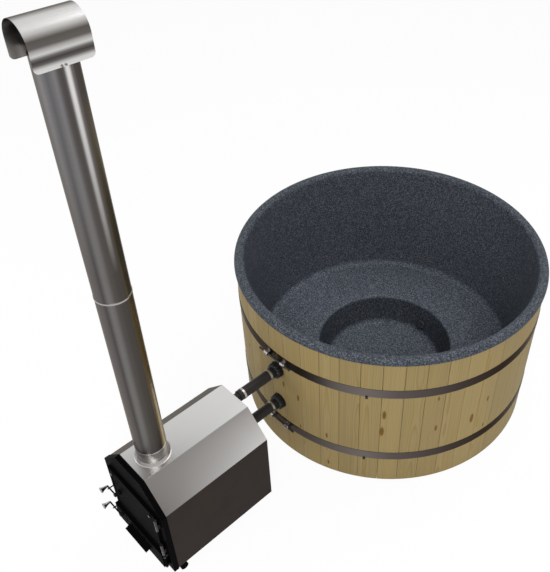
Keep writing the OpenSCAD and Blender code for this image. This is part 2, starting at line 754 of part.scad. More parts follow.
// Soft wedge between the flange and the leaning wall
module union_gasket(z) difference() {
    toward_heater(z) difference() {
        translate([0, 0, wall_r(z) - flange_back]) cylinder(r = flange_r - gasket_least, h = 2 * flange_back);
        translate([0, 0, wall_r(z) - 2 * flange_back]) cylinder(r = line_r + fit_gap, h = 4 * flange_back);
    }
    rotate_extrude($fn = round_fn) polygon([[wall_r(seat_z) - fit_gap, seat_z], [tub_r + flange_back, seat_z],
        [tub_r + flange_back, rim_z], [wall_r(rim_z) - fit_gap, rim_z]]);
}
module union_gaskets() color("black") {
    union_gasket(line_up_z);
    union_gasket(line_low_z);
}
module union_nut(z) {
    d0 = wood_r(z + union_nut_r) + fit_gap;
    toward_heater(z) difference() {
        union() {
            translate([0, 0, d0]) cylinder(r = union_nut_r, h = union_flange_t);
            translate([0, 0, d0]) cylinder(r = grip_r, h = union_flange_t + grip_len);
            translate([0, 0, d0]) cylinder(r = neck_r, h = hose_start - fit_gap - d0);
        }
        translate([0, 0, tub_r / 2]) cylinder(r = line_r + fit_gap / 2, h = tub_r);
        for (k = [0 : flute_count - 1]) rotate(k * turn / flute_count)
            translate([grip_r + flute_r - flute_depth, 0, d0 + union_flange_t])
                cylinder(r = flute_r, h = grip_len + over);
    }
}
module union_nuts() color("black") {
    union_nut(line_up_z);
    union_nut(line_low_z);
}
// Slotted cover over the inner flange
module suction_grille(z) toward_heater(z) translate([0, 0, wall_r(z) - flange_back - grille_h]) difference() {
    cylinder(r = grille_r, h = grille_h);
    translate([0, 0, grille_t]) cylinder(r = flange_r + fit_gap, h = grille_h);
    for (k = [0 : grille_slots - 1]) translate([0, (k - (grille_slots - 1) / 2) * grille_pitch, 0])
        cube([grille_slot_len / 2, grille_slot_w, 4 * grille_t], center = true);
}
module suction_grilles() color("gainsboro") {
    suction_grille(line_up_z);
    suction_grille(line_low_z);
}
module hose(z) toward_heater(z) tube(hose_r, hose_t, hose_start + fit_gap, hose_end);
module hoses() color("dimgray") {
    hose(line_up_z);
    hose(line_low_z);
}
// Band clamp with its screw housing
module hose_clamp(z, d) toward_heater(z) translate([0, 0, d - clamp_w / 2]) rotate(clamp_turn) {
    tube(hose_r + clamp_t + fit_gap / 2, clamp_t, 0, clamp_w);
    difference() {
        translate([hose_r, -clamp_w, 0]) cube([clamp_w * 2 / 3, 2 * clamp_w, clamp_w]);
        translate([0, 0, -over]) cylinder(r = hose_r + clamp_t + fit_gap / 4, h = clamp_w + 2 * over);
    }
}
module hose_clamps() color("silver")
    for (z = [line_up_z, line_low_z], d = [hose_start + clamp_in, hose_end - clamp_back]) hose_clamp(z, d);
// Tails that push onto the heater's stubs and carry the hoses
module hose_tail(z) toward_heater(z) difference() {
    translate([0, 0, tail_start]) cylinder(r = tail_r, h = heater_back - tail_start - fit_gap);
    translate([0, 0, tail_start - over]) cylinder(r = stub_r + fit_gap / 2, h = heater_len);
}
module hose_tails() color("black") {
    hose_tail(line_up_z);
    hose_tail(line_low_z);
}

// Casing sheet between two outlines, kept above or below the shoulders
module casing_ring() difference() {
    prism(casing, heater_back, heater_front);
    prism(inset(casing, sheet), heater_back - over, heater_front + over);
}
module hood() color("silver") difference() {
    casing_ring();
    block([-heater_w, heater_w], [heater_back - over, heater_front + over], [0, shoulder_z]);
    translate([0, -flue_y, 0]) cylinder(r = flue_r + fit_gap, h = 2 * heater_h);
}
module side_panel(side) intersection() {
    casing_ring();
    block(side > 0 ? [heater_w / 2 - sheet, heater_w / 2] : [-heater_w / 2, sheet - heater_w / 2],
        [heater_back - over, heater_front + over], [floor_z, shoulder_z - fit_gap]);
}
module left_panel() color("saddlebrown") side_panel(-1);
module right_panel() color("saddlebrown") side_panel(1);
module rear_panel() color("silver") difference() {
    prism(inset(casing, sheet + fit_gap), heater_back, heater_back + sheet);
    for (z = [line_up_z, line_low_z])
        toward_heater(z) translate([0, 0, heater_back - over])
            cylinder(r = stub_r + fit_gap, h = heater_len / 2);
}
// Floor sheet with four welded bosses for the feet
module floor_tray() color("gray") {
    difference() {
        block([sheet + fit_gap - heater_w / 2, heater_w / 2 - sheet - fit_gap],
            [heater_back + sheet + fit_gap, heater_front - fit_gap], [floor_z, floor_z + sheet]);
        jacket_drain(jacket_drain_r + fit_gap, floor_z + 2 * sheet);
    }
    at_feet() difference() {
        translate([0, 0, floor_z - boss_h]) cylinder(r = boss_r, h = boss_h + sheet / 2);
        translate([0, 0, floor_z - 2 * boss_h])
            cylinder(r = foot_stem_r + fit_gap / 2, h = 2 * boss_h - fit_gap);
    }
}

// Bent drain stub of radius r, from its end on the right, round an elbow and up to the height top
module jacket_drain(r, top) translate([jacket_drain_x, -jacket_drain_y, jacket_drain_z]) {
    cylinder(r = r, h = top - jacket_drain_z);
    sphere(r = r);
    rotate([0, 90, 0]) cylinder(r = r, h = jacket_drain_side - plug_t - fit_gap);
}
// Cap over the end of the drain stub, with a shallow dish in its face
module heater_plug() color("black") translate([heater_w / 2, -jacket_drain_y, jacket_drain_z])
    rotate([0, -90, 0]) difference() {
        cylinder(r = plug_r, h = plug_len);
        translate([0, 0, plug_t]) cylinder(r = jacket_drain_r + fit_gap / 2, h = plug_len);
        translate([0, 0, -over]) cylinder(r = plug_dish_r, h = over + plug_dish);
    }
// Welded double shell round the fire, with stubs for the water line, the drain and the flue
module jacket_skin(s, near, far) prism(inset(casing, s), near, far);
module water_jacket() color("lightgray") difference() {
    union() {
        difference() {
            jacket_skin(jacket_in, jacket_back, jacket_front);
            difference() {
                jacket_skin(jacket_in + skin, jacket_back + skin, jacket_front - skin);
                jacket_skin(fire_in - skin, fire_back - skin, jacket_front + over);
                translate([0, -flue_y, heater_h / 2]) cylinder(r = spigot_r, h = heater_h);
            }
            jacket_skin(fire_in, fire_back, jacket_front + over);
        }
        translate([0, -flue_y, heater_h - fire_in - skin])
            cylinder(r = spigot_r, h = spigot_top - heater_h + fire_in + skin);
        for (z = [line_up_z, line_low_z])
            toward_heater(z) translate([0, 0, tail_start + over])
                cylinder(r = stub_r, h = jacket_back - tail_start);
        jacket_drain(jacket_drain_r, floor_z + jacket_in + skin / 2);
        for (side = [0, 1]) mirror([side, 0, 0])
            block([heater_w / 2 - fire_in - ledge_w, heater_w / 2 - fire_in + skin / 2],
                [fire_back - skin / 2, jacket_front - over], [grate_z - ledge_t, grate_z]);
    }
    jacket_drain(jacket_drain_r - stub_t, floor_z + jacket_in + skin + over);
    translate([jacket_drain_x, -jacket_drain_y, jacket_drain_z]) rotate([0, 90, 0])
        cylinder(r = jacket_drain_r - stub_t, h = jacket_drain_side);
    translate([0, -flue_y, heater_h / 2]) cylinder(r = spigot_r - skin, h = heater_h);
    for (z = [line_up_z, line_low_z])
        toward_heater(z) translate([0, 0, tail_start])
            cylinder(r = stub_r - stub_t, h = jacket_back + skin + over - tail_start);
}

// Cast front: a dished plate with a deep edge and an opening behind each door
module front_plate() color("black") difference() {
    prism(inset(casing, -plate_over), heater_front + fit_gap, face_y);
    prism(inset(casing, sheet), heater_front - over, face_y - plate_t);
    block([-mouth_x, mouth_x], [heater_front, face_y + over], [door_mouth_low, door_mouth_up]);
    block([-mouth_x, mouth_x], [heater_front, face_y + over], [ash_mouth_low, ash_mouth_up]);
}
module grate() color("dimgray") difference() {
    gx = heater_w / 2 - fire_in - grate_side_gap;
    y0 = fire_back + grate_end_gap;
    y1 = jacket_front - grate_end_gap;
    bar_len = (y1 - y0 - grate_margin) / 2;
    block([-gx, gx], [y0, y1], [grate_z + fit_gap, grate_z + grate_t]);
    pitch = grate_bar + grate_slot;
    count = floor((2 * gx - 2 * grate_margin) / pitch);
    for (k = [0 : count - 1]) translate([(k - (count - 1) / 2) * pitch, 0, 0])
        for (half = [0, 1]) block([-grate_slot / 2, grate_slot / 2],
            [y0 + grate_margin + half * bar_len, y0 + (1 + half) * bar_len],
            [grate_z - over, grate_z + 2 * grate_t]);
}
module ash_pan() color("gray") {
    px = mouth_x - pan_side_gap;
    y0 = fire_back + pan_back_gap;
    y1 = jacket_front - pan_front_gap;
    z0 = fire_floor + fit_gap;
    difference() {
        block([-px, px], [y0, y1], [z0, z0 + pan_h]);
        block([pan_t - px, px - pan_t], [y0 + pan_t, y1 - pan_t], [z0 + pan_t, z0 + 2 * pan_h]);
    }
    block([-px / 4, px / 4], [y1, y1 + over], [z0 + pan_h - 3 * pan_t, z0 + pan_h]);
}
module at_feet() for (x = [-foot_x, foot_x], y = [foot_front, foot_rear])
    translate([x, -y, 0]) children();
module foot_stems() color("silver") at_feet() {
    translate([0, 0, pad_h / 2]) cylinder(r = foot_stem_r, h = floor_z - pad_h / 2 - 2 * fit_gap);
    translate([0, 0, floor_z - boss_h - locknut_h - fit_gap])
        cylinder(r = nut_af / sqrt(3), h = locknut_h, $fn = 6);
}
module foot_pads() color("black") at_feet() difference() {
    union() {
        cylinder(r = foot_r, h = pad_h / 2);
        translate([0, 0, pad_h / 2]) cylinder(r1 = foot_r, r2 = foot_r / 2, h = pad_h / 2);
    }
    translate([0, 0, pad_h / 2 - fit_gap / 2]) cylinder(r = foot_stem_r + fit_gap / 2, h = pad_h);
}

// Lift-off hinges: a fixed post with its pin, and a barrel on the door above it
module hinge_posts() color("silver") for (z = hinge_low_zs) translate([hinge_x, -hinge_y, z]) {
    cylinder(r = hinge_r, h = hinge_len / 2 - fit_gap);
    cylinder(r = hinge_pin_r, h = hinge_len - hinge_head);
    translate([-leaf_t / 2, hinge_r / 2, hinge_head])
        cube([leaf_t, hinge_y - face_y - hinge_r / 2 - fit_gap / 3, hinge_len / 2 - 2 * hinge_head]);
}
module door_barrels() for (z = hinge_low_zs) difference() {
    translate([hinge_x, -hinge_y, z + hinge_len / 2]) {
        cylinder(r = hinge_r, h = hinge_len / 2);
        translate([door_w / 2 - over - hinge_x, hinge_y - door_face, hinge_head])
            cube([hinge_x - door_w / 2 + over, leaf_t, hinge_len / 2 - 2 * hinge_head]);
    }
    translate([hinge_x, -hinge_y, z])
        cylinder(r = hinge_pin_r + pin_gap, h = hinge_len - hinge_head + 2 * fit_gap);
}
// Door slab with a raised border and a groove for the sealing rope
module fire_door() color("black") difference() {
    union() {
        block([-door_w / 2, door_w / 2], [door_back, door_face - border_h], [door_low_z, door_up_z]);
        difference() {
            block([-door_w / 2, door_w / 2], [door_back, door_face], [door_low_z, door_up_z]);
            block([border_w - door_w / 2, door_w / 2 - border_w], [door_back - over, door_face + over],
                [door_low_z + border_w, door_up_z - border_w]);
        }
        door_barrels();
        for (x = [-bolt_x, bolt_x]) toward_heater(bolt_z) translate([x, 0, door_back])
            cylinder(r = bolt_boss_r, h = door_t);
        toward_heater(fire_hub.y) translate([fire_hub.x, 0, door_back])
            cylinder(r = hub_boss_r, h = door_t);
    }
    rope_ring(fit_gap / 2, over);
    for (x = [-bolt_x, bolt_x]) toward_heater(bolt_z) translate([x, 0, door_back - over])
        cylinder(r = shank_r + fit_gap, h = door_t + 2 * over);
    toward_heater(fire_hub.y) translate([fire_hub.x, 0, door_back + pivot_seat])
        cylinder(r = pivot_r + pin_gap, h = door_t);
}
// Sealing rope round the opening, let into the door's back; grow widens it to cut its groove
module rope_ring(grow, back) {
    out = rope_margin + grow;
    in = rope_margin - rope_w - grow;
    difference() {
        block([-mouth_x - out, mouth_x + out], [door_back - back, door_back + rope_d + grow],
            [door_mouth_low - out, door_mouth_up + out]);
        block([-mouth_x - in, mouth_x + in], [door_back - 2 * over, door_face],
            [door_mouth_low - in, door_mouth_up + in]);
    }
}
module door_rope() color("white") rope_ring(0, door_seat - fit_gap);
// Heat shield inside the opening, carried by the two bolts on a bent bracket
module door_baffle() color("gray") {
    block([-baffle_x, baffle_x], [door_back - baffle_off, door_back - baffle_off + baffle_t],
        [door_mouth_low + baffle_end_gap, door_mouth_up - baffle_end_gap]);
    for (side = [0, 1]) mirror([side, 0, 0]) block([baffle_x - 2 * border_w, baffle_x - border_w],
        [door_back - baffle_off, door_back - fit_gap],
        [door_mouth_low + baffle_leg_in, door_mouth_up - baffle_leg_in]);
}
module door_bolts() color("silver") for (x = [-bolt_x, bolt_x])
    toward_heater(bolt_z) translate([x, 0, door_back + fit_gap]) {
        cylinder(r = shank_r, h = door_t);
        translate([0, 0, door_t]) cylinder(r = bolt_r, h = bolt_h, $fn = 6);
    }

// Latch pivot with a flat head at its outer end
module pivot(hub, out, back) toward_heater(hub.y) translate([hub.x, 0, 0]) {
    translate([0, 0, back]) cylinder(r = pivot_r, h = out + bar_r + 2 * hub_gap - back);
    translate([0, 0, out + bar_r + 2 * hub_gap]) cylinder(r = pivot_head_r, h = pivot_head_h);
}
module fire_pivot() color("silver") pivot(fire_hub, fire_bar, door_back + pivot_seat);
module ash_pivot() color("silver") pivot(ash_hub, ash_bar, ash_face - ash_wall);
// Latch bar: hub, level bar to the left, and a tip turned forward into the knob
module latch(hub, tip_x, face, out) toward_heater(hub.y) difference() {
    union() {
        translate([hub.x, 0, face + hub_gap]) cylinder(r = hub_r, h = out + bar_r - face);
        translate([tip_x, 0, out]) rotate([0, 90, 0]) cylinder(r = bar_r, h = hub.x - tip_x);
        translate([tip_x, 0, out]) sphere(r = bar_r);
        translate([tip_x, 0, out]) cylinder(r = bar_r, h = knob_stand + knob_len - knob_end - fit_gap);
    }
    translate([hub.x, 0, face - over]) cylinder(r = pivot_r + pin_gap, h = heater_len);
}
module fire_latch() color("black") latch(fire_hub, fire_tip_x, door_face, fire_bar);
module ash_latch() color("black") latch(ash_hub, ash_tip_x, ash_face, ash_bar);

// Turned knob that flares from a slim neck to a rounded end
module knob() rotate_extrude() polygon(concat([[bar_r + fit_gap, 0]],
    [for (i = [0 : flare_steps]) let (t = i / flare_steps)
        [knob_neck_r + (knob_r - knob_neck_r) * t * t, (knob_len - knob_round) * t]],
    [for (i = [1 : flare_steps]) let (a = 90 * i / flare_steps)
        [knob_r - knob_round * (1 - cos(a)), knob_len - knob_round * (1 - sin(a))]],
    [[0, knob_len], [0, knob_len - knob_end], [bar_r + fit_gap, knob_len - knob_end]]));
module knob_on(hub, tip_x, out) toward_heater(hub.y) translate([tip_x, 0, out + knob_stand]) knob();
module fire_knob() color("silver") knob_on(fire_hub, fire_tip_x, fire_bar);
module ash_knob() color("silver") knob_on(ash_hub, ash_tip_x, ash_bar);
// Plain pin in the front plate, just under a latch's bar
module keeper(z, out, door_edge) toward_heater(z - bar_r - keeper_r - fit_gap)
    translate([-door_edge - keeper_gap - keeper_r, 0, face_y + fit_gap / 3])
        cylinder(r = keeper_r, h = out + 2 * bar_r - face_y);
module keeper_pins() color("silver") {
    keeper(fire_hub.y, fire_bar, door_w / 2);
    keeper(ash_hub.y, ash_bar, ash_x);
}

// Ash door: a shallow box open at the back, with louvres, a finger ledge and a hinge barrel
module ash_door() color("black") difference() {
    union() {
        difference() {
            block([-ash_x, ash_x], [door_back, ash_face], [ash_low_z, ash_up_z]);
            block([ash_wall - ash_x, ash_x - ash_wall], [door_back - over, ash_face - ash_wall],
                [ash_low_z + ash_wall, ash_up_z - ash_wall]);
        }
        translate([-lip_x, 0, 0]) rotate([90, 0, 90]) linear_extrude(2 * lip_x) polygon([
            [-ash_face + ash_wall / 2, lip_z], [-ash_face - lip_d, lip_z - lip_fall],
            [-ash_face - lip_d, lip_z - lip_fall - lip_t], [-ash_face + ash_wall / 2, lip_z - lip_t]]);
        translate([hinge_x, -hinge_y, ash_barrel_z[0]])
            cylinder(r = ash_hinge_r, h = ash_barrel_z[1] - ash_barrel_z[0]);
        block([ash_x - ash_wall, hinge_x - hinge_r / 2],
            [hinge_y - leaf_t / 2, hinge_y + leaf_t / 2], ash_barrel_z);
    }
    translate([hinge_x, -hinge_y, 0]) cylinder(r = hinge_pin_r + pin_gap, h = ash_up_z);
    for (k = [0 : louvre_count - 1])
        translate([louvre_x + (k - (louvre_count - 1) / 2) * louvre_pitch, 0, 0])
            block([-louvre_w / 2, louvre_w / 2], [ash_face - 2 * ash_wall, ash_face + over],
                [louvre_z, louvre_z + louvre_h]);
    toward_heater(ash_hub.y) translate([ash_hub.x, 0, ash_face - 2 * ash_wall])
        cylinder(r = pivot_r + pin_gap, h = 4 * ash_wall);
}
// Pin of the ash door, with an ear at each end that reaches back to the front plate
module ash_hinge_pin() color("black") {
    translate([hinge_x, -hinge_y, ash_barrel_z[0] - ear_h])
        cylinder(r = hinge_pin_r, h = ash_barrel_z[1] - ash_barrel_z[0] + 2 * ear_h);
    for (z = [ash_barrel_z[0] - ear_h - fit_gap, ash_barrel_z[1] + fit_gap]) {
        translate([hinge_x, -hinge_y, z]) cylinder(r = ash_hinge_r, h = ear_h);
        block([hinge_x - leaf_t / 2, hinge_x + leaf_t / 2],
            [face_y + fit_gap / 3, hinge_y - hinge_r / 2], [z, z + ear_h]);
    }
}

module at_flue() translate([0, -flue_y, 0]) children();
module flue_collar() color("silver") at_flue() rotate_extrude() polygon([[flue_r + fit_gap, heater_h + fit_gap],
    [collar_r, heater_h + fit_gap], [collar_r, heater_h + 2 * sheet], [collar_r - over, heater_h + 3 * sheet],
    [flue_r + fit_gap + sheet, heater_h + collar_h], [flue_r + fit_gap, heater_h + collar_h]]);
module lower_flue() color("gray") at_flue() tube(flue_r, flue_t, flue_low_z, joint_z - fit_gap / 2);
module upper_flue() color("gray") at_flue() {
    tube(flue_r, flue_t, joint_z, flue_top_z);
    tube(flue_r - flue_t - fit_gap / 2, flue_t, joint_z - spigot_len, joint_z + flue_t);
}
module flue_band() color("silver") at_flue()
    tube(flue_r + fit_gap / 2 + band_t, band_t, joint_z - band_half, joint_z + band_half);
// Half-barrel rain cap, open at both ends, with straight sides down past the flue's top
module cap_section(r) {
    translate([0, cap_axis_z]) circle(r = r);
    translate([-r, cap_low_z]) square([2 * r, cap_axis_z - cap_low_z]);
}
module rain_cap() color("silver") at_flue() intersection() {
    translate([0, cap_len / 2, 0]) rotate([90, 0, 0]) linear_extrude(cap_len) difference() {
        cap_section(cap_r);
        cap_section(cap_r - cap_t);
        translate([0, cap_low_z]) square([2 * (cap_r - cap_t), 2 * over], center = true);
    }
    rotate([90, 0, 90]) linear_extrude(4 * cap_r, center = true) cap_side();
}
// Side view of the cap: a rectangle whose lower corners are rounded
module cap_side() {
    translate([-cap_len / 2, cap_low_z + cap_corner]) square([cap_len, 4 * cap_r]);
    translate([cap_corner - cap_len / 2, cap_low_z]) square([cap_len - 2 * cap_corner, 2 * cap_corner]);
    for (s = [-1, 1]) translate([s * (cap_len / 2 - cap_corner), cap_low_z + cap_corner])
        circle(r = cap_corner);
}
module cap_screws() color("silver") at_flue() for (side = [-1, 1], y = [-screw_x, 0])
    translate([side * (cap_r + fit_gap / 3), y, cap_low_z + over]) rotate([0, side * 90, 0])
        cylinder(r = screw_r, h = screw_h);

staves();
bored_staves();
liner();
upper_hoop();
lower_hoop();
hoop_lugs();
hoop_rods();
hoop_nuts();
hoop_clips();
base_bearers();
base_boards();
bench_posts();
drain_fitting();
drain_nut();
drain_strainer();
drain_pipe();
valve_body();
valve_tail();
valve_ball();
valve_stem();
valve_lever();
wall_unions();
union_gaskets();
union_nuts();
suction_grilles();
hoses();
hose_clamps();
hose_tails();
hood();
left_panel();
right_panel();
rear_panel();
floor_tray();
water_jacket();
heater_plug();
front_plate();
grate();
ash_pan();
foot_stems();
foot_pads();
hinge_posts();
fire_door();
door_baffle();
door_rope();
door_bolts();
fire_pivot();
fire_latch();
fire_knob();
ash_hinge_pin();
ash_door();
ash_pivot();
ash_latch();
ash_knob();
keeper_pins();
flue_collar();
lower_flue();
flue_band();
upper_flue();
rain_cap();
cap_screws();
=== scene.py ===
import math

import bmesh
import bpy
import numpy as np
from mathutils import Matrix, Vector


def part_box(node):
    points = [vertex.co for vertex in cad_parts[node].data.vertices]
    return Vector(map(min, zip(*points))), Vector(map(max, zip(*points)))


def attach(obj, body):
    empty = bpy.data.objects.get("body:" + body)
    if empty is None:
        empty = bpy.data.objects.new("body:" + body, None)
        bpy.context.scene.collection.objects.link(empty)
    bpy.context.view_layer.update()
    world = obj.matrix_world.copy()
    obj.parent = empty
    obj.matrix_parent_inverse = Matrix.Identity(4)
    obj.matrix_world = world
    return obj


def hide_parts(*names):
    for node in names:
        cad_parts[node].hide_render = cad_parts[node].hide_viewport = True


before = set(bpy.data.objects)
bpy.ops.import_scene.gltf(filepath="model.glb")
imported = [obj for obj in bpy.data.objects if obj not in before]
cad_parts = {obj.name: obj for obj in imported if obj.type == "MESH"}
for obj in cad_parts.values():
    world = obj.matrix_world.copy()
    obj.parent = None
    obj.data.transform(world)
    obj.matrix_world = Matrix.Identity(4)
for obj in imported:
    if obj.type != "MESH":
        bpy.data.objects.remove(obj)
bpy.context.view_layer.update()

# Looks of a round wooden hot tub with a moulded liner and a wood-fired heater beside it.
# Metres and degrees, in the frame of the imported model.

MM = 0.001

# Tub: its boards, which lean in towards the ground, and the floor of its well and its seat
STAVE_COUNT = 50
WOOD_R = 903 * MM
STAVE_TOP_R = 906 * MM
STAVE_TOP_Z = 989 * MM
STAVE_LEAN = 8 / 981
WELL_Z = 45 * MM
SEAT_Z = 236 * MM

# Water line: heights of its two axes, and the nuts on the wood
LINE_HEIGHTS = (661 * MM, 399 * MM)
NUT_FLUTES = 12
NUT_R = 49 * MM
GRIP_R = 46 * MM
NECK_R = 34 * MM
BORE_R = 25.6 * MM

# Heater and the axis of its fire door's hinge
HEATER_HALF_W = 245.5 * MM
HEATER_FRONT_Y = -1829 * MM
HEATER_BACK_Y = -1204 * MM
HINGE_X = 218 * MM
HINGE_Y = -1875 * MM
HINGE_R = 9 * MM

# Flue: its axis and the cap's, its pale foot, and the heights over which the pipe's lower painted reflection
# changes to the upper one
FLUE_Y = -1710 * MM
CAP_AXIS_Z = 2776 * MM
FOOT_LOW_Z = 687 * MM
FOOT_TOP_Z = 775 * MM
REFLECTION_FADE_LOW_Z = 1870 * MM
REFLECTION_FADE_TOP_Z = 2600 * MM

# Distance between the scratches of finely and coarsely brushed sheet
FINE_BRUSH = 1.2 * MM
COARSE_BRUSH = 2.5 * MM

# Knots of the boards: direction round the tub in degrees, height and length in mm
KNOTS = (
    (310.8, 585, 46), (310.3, 446, 52), (329.2, 444, 34), (328.8, 690, 24), (343.5, 426, 52),
    (350.1, 300, 26), (349.8, 531, 30), (248.4, 559, 24), (272.4, 563, 34), (279.1, 523, 34),
    (279.7, 283, 26), (290.6, 311, 30), (291.2, 68, 34), (305.3, 42, 24), (20.2, 610, 40),
    (41.5, 350, 30), (63.0, 540, 46), (92.5, 640, 34), (121.0, 420, 28), (150.4, 600, 42),
    (171.2, 120, 30), (199.8, 480, 38), (221.7, 655, 30), (235.5, 140, 34),
)

# Camera that took the photograph: its place, its turns in degrees, and the picture's size, focal length and
# centre in pixels
CAMERA_PLACE = (2.1520, -2.6337, 3.6627)
CAMERA_TURN = 44.11
CAMERA_TILT = 90 - 39.126
CAMERA_ROLL = 0.663
PHOTO_W = 550
PHOTO_H = 572
FOCAL_PX = 733.71
CENTRE_PX = (341.41, 259.83)
SENSOR_MM = 36
FLOOR_SPAN = 40.0


def linear(text):
    """Linear colour of an sRGB hex value: c/12.92 for c up to 0.04045, else ((c + 0.055)/1.055)^2.4."""
    values = [int(text[i:i + 2], 16) / 255 for i in (1, 3, 5)]
    return [v / 12.92 if v <= 0.04045 else ((v + 0.055) / 1.055) ** 2.4 for v in values] + [1.0]


def add(tree, kind, sockets=None, **settings):
    """Adds a node. Settings are its properties; a socket takes a value, or a link from a node or output."""
    made = tree.nodes.new(kind)
    for name, value in settings.items():
        setattr(made, name, value)
    for name, value in (sockets or {}).items():
        if isinstance(value, bpy.types.Node):
            value = next(output for output in value.outputs if output.enabled)
        if isinstance(value, bpy.types.NodeSocket):
            tree.links.new(value, made.inputs[name])
        else:
            made.inputs[name].default_value = value
    return made


def new_material(name):
    """An empty material and its node tree."""
    material = bpy.data.materials.new(name)
    material.use_nodes = True
    material.node_tree.nodes.clear()
    return material, material.node_tree


def object_place(tree):
    """Place on the part, in metres."""
    return add(tree, "ShaderNodeTexCoord").outputs["Object"]


def parts(tree, vector):
    """The x, y and z of a vector."""
    return add(tree, "ShaderNodeSeparateXYZ", {"Vector": vector}).outputs


def calc(tree, operation, *values, **settings):
    """Arithmetic on numbers."""
    return add(tree, "ShaderNodeMath", dict(enumerate(values)), operation=operation, **settings)


def vector_calc(tree, operation, *values):
    """Arithmetic on vectors or colours."""
    return add(tree, "ShaderNodeVectorMath", dict(enumerate(values)), operation=operation)


def vector_length(tree, vector):
    """Length of a vector."""
    return vector_calc(tree, "LENGTH", vector).outputs["Value"]


def scaled(tree, vector, factor):
    """A vector or colour times a number."""
    made = add(tree, "ShaderNodeVectorMath", {0: vector, "Scale": factor}, operation="SCALE")
    return made.outputs["Vector"]


def span(tree, value, low, high, start=0.0, end=1.0):
    """Goes from start to end while value goes from low to high, and stays there outside of them."""
    return add(tree, "ShaderNodeMapRange", {"Value": value, "From Min": low, "From Max": high,
                                            "To Min": start, "To Max": end})


def noise(tree, place, scale, detail):
    """Cloudy noise of about 0.5."""
    made = add(tree, "ShaderNodeTexNoise", {"Vector": place, "Scale": scale, "Detail": detail})
    return made.outputs["Fac"]


def bump(tree, height, strength, distance):
    """Normal of a surface with this relief."""
    return add(tree, "ShaderNodeBump", {"Height": height, "Strength": strength, "Distance": distance})


def ramp(tree, factor, stops):
    """Colour ramp through (place, hex colour) stops."""
    made = add(tree, "ShaderNodeValToRGB", {"Fac": factor})
    band = made.color_ramp
    while len(band.elements) < len(stops):
        band.elements.new(0.5)
    for element, (place, text) in zip(band.elements, stops):
        element.position = place
        element.color = linear(text)
    return made.outputs["Color"]


def blend(tree, share, first, second):
    """Colour from the first at share 0 to the second at share 1."""
    made = add(tree, "ShaderNodeMix", {"Factor": share, "A": first, "B": second}, data_type="RGBA")
    return made.outputs["Result"]


def surface(tree, sockets):
    """Principled surface with its output."""
    shader = add(tree, "ShaderNodeBsdfPrincipled", sockets)
    add(tree, "ShaderNodeOutputMaterial", {"Surface": shader})


def finish(material, *names):
    """Gives a material to CAD nodes."""
    for name in names:
        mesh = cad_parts[name].data
        mesh.materials.clear()
        mesh.materials.append(material)


def boards(tree, x, y):
    """Number of the board that a place is on, and the way across that board in metres."""
    angle = calc(tree, "ARCTAN2", y, x)
    # The middle of a board is on -Y, a quarter turn back, and a whole turn more keeps the numbers above zero
    start = 1.25 * STAVE_COUNT + 0.5
    turns = calc(tree, "MULTIPLY_ADD", angle, STAVE_COUNT / math.tau, start)
    board = calc(tree, "FLOOR", turns)
    share = calc(tree, "FRACT", turns)
    return board, calc(tree, "MULTIPLY", share, math.tau * WOOD_R / STAVE_COUNT)


def pith_distance(tree, cut, across, z, side_chance, lean_chance):
    """Distance from the log's pith: it lies well behind the board, so most rings show as straight lines."""
    before, spread = -40 * MM, 200 * MM
    depth, lean_rate, wander_by = 40 * MM, 0.025, 30 * MM
    side = calc(tree, "MULTIPLY_ADD", side_chance, spread, before)
    off = calc(tree, "SUBTRACT", across, side)
    lean = calc(tree, "SUBTRACT", lean_chance, 0.5)
    deep = calc(tree, "MULTIPLY", lean, z)
    deep = calc(tree, "MULTIPLY_ADD", deep, lean_rate, depth)
    wander = noise(tree, cut, scale=1.6, detail=2.0)
    deep = calc(tree, "MULTIPLY_ADD", wander, wander_by, deep)
    return vector_length(tree, add(tree, "ShaderNodeCombineXYZ", {"X": off, "Y": deep}))


def knots(tree, place):
    """How far the rings bend round the knots, in metres, and how deep in a knot a place is, from 0 to 1."""
    # A knot of length 1 reaches 1/3.1 sideways and 1/0.95 up and down, and bends the rings by a quarter
    fall = (3.1, 3.1, 0.95)
    bend_by, bend_fall = 0.25, 0.6
    bend, mark = 0.0, 0.0
    for direction, height, length in KNOTS:
        turn = math.radians(direction)
        middle = (math.cos(turn) * WOOD_R, math.sin(turn) * WOOD_R, height * MM)
        size = length * MM
        away = vector_calc(tree, "SUBTRACT", place, middle)
        away = vector_calc(tree, "MULTIPLY", away, [part / size for part in fall])
        reach = vector_length(tree, away)
        near = calc(tree, "SUBTRACT", 1.0, reach)
        pull = calc(tree, "MULTIPLY", reach, -bend_fall)
        pull = calc(tree, "POWER", math.e, pull)
        pull = calc(tree, "MULTIPLY", pull, bend_by * size)
        bend = calc(tree, "ADD", bend, pull)
        mark = calc(tree, "MAXIMUM", mark, near)
    return bend, mark


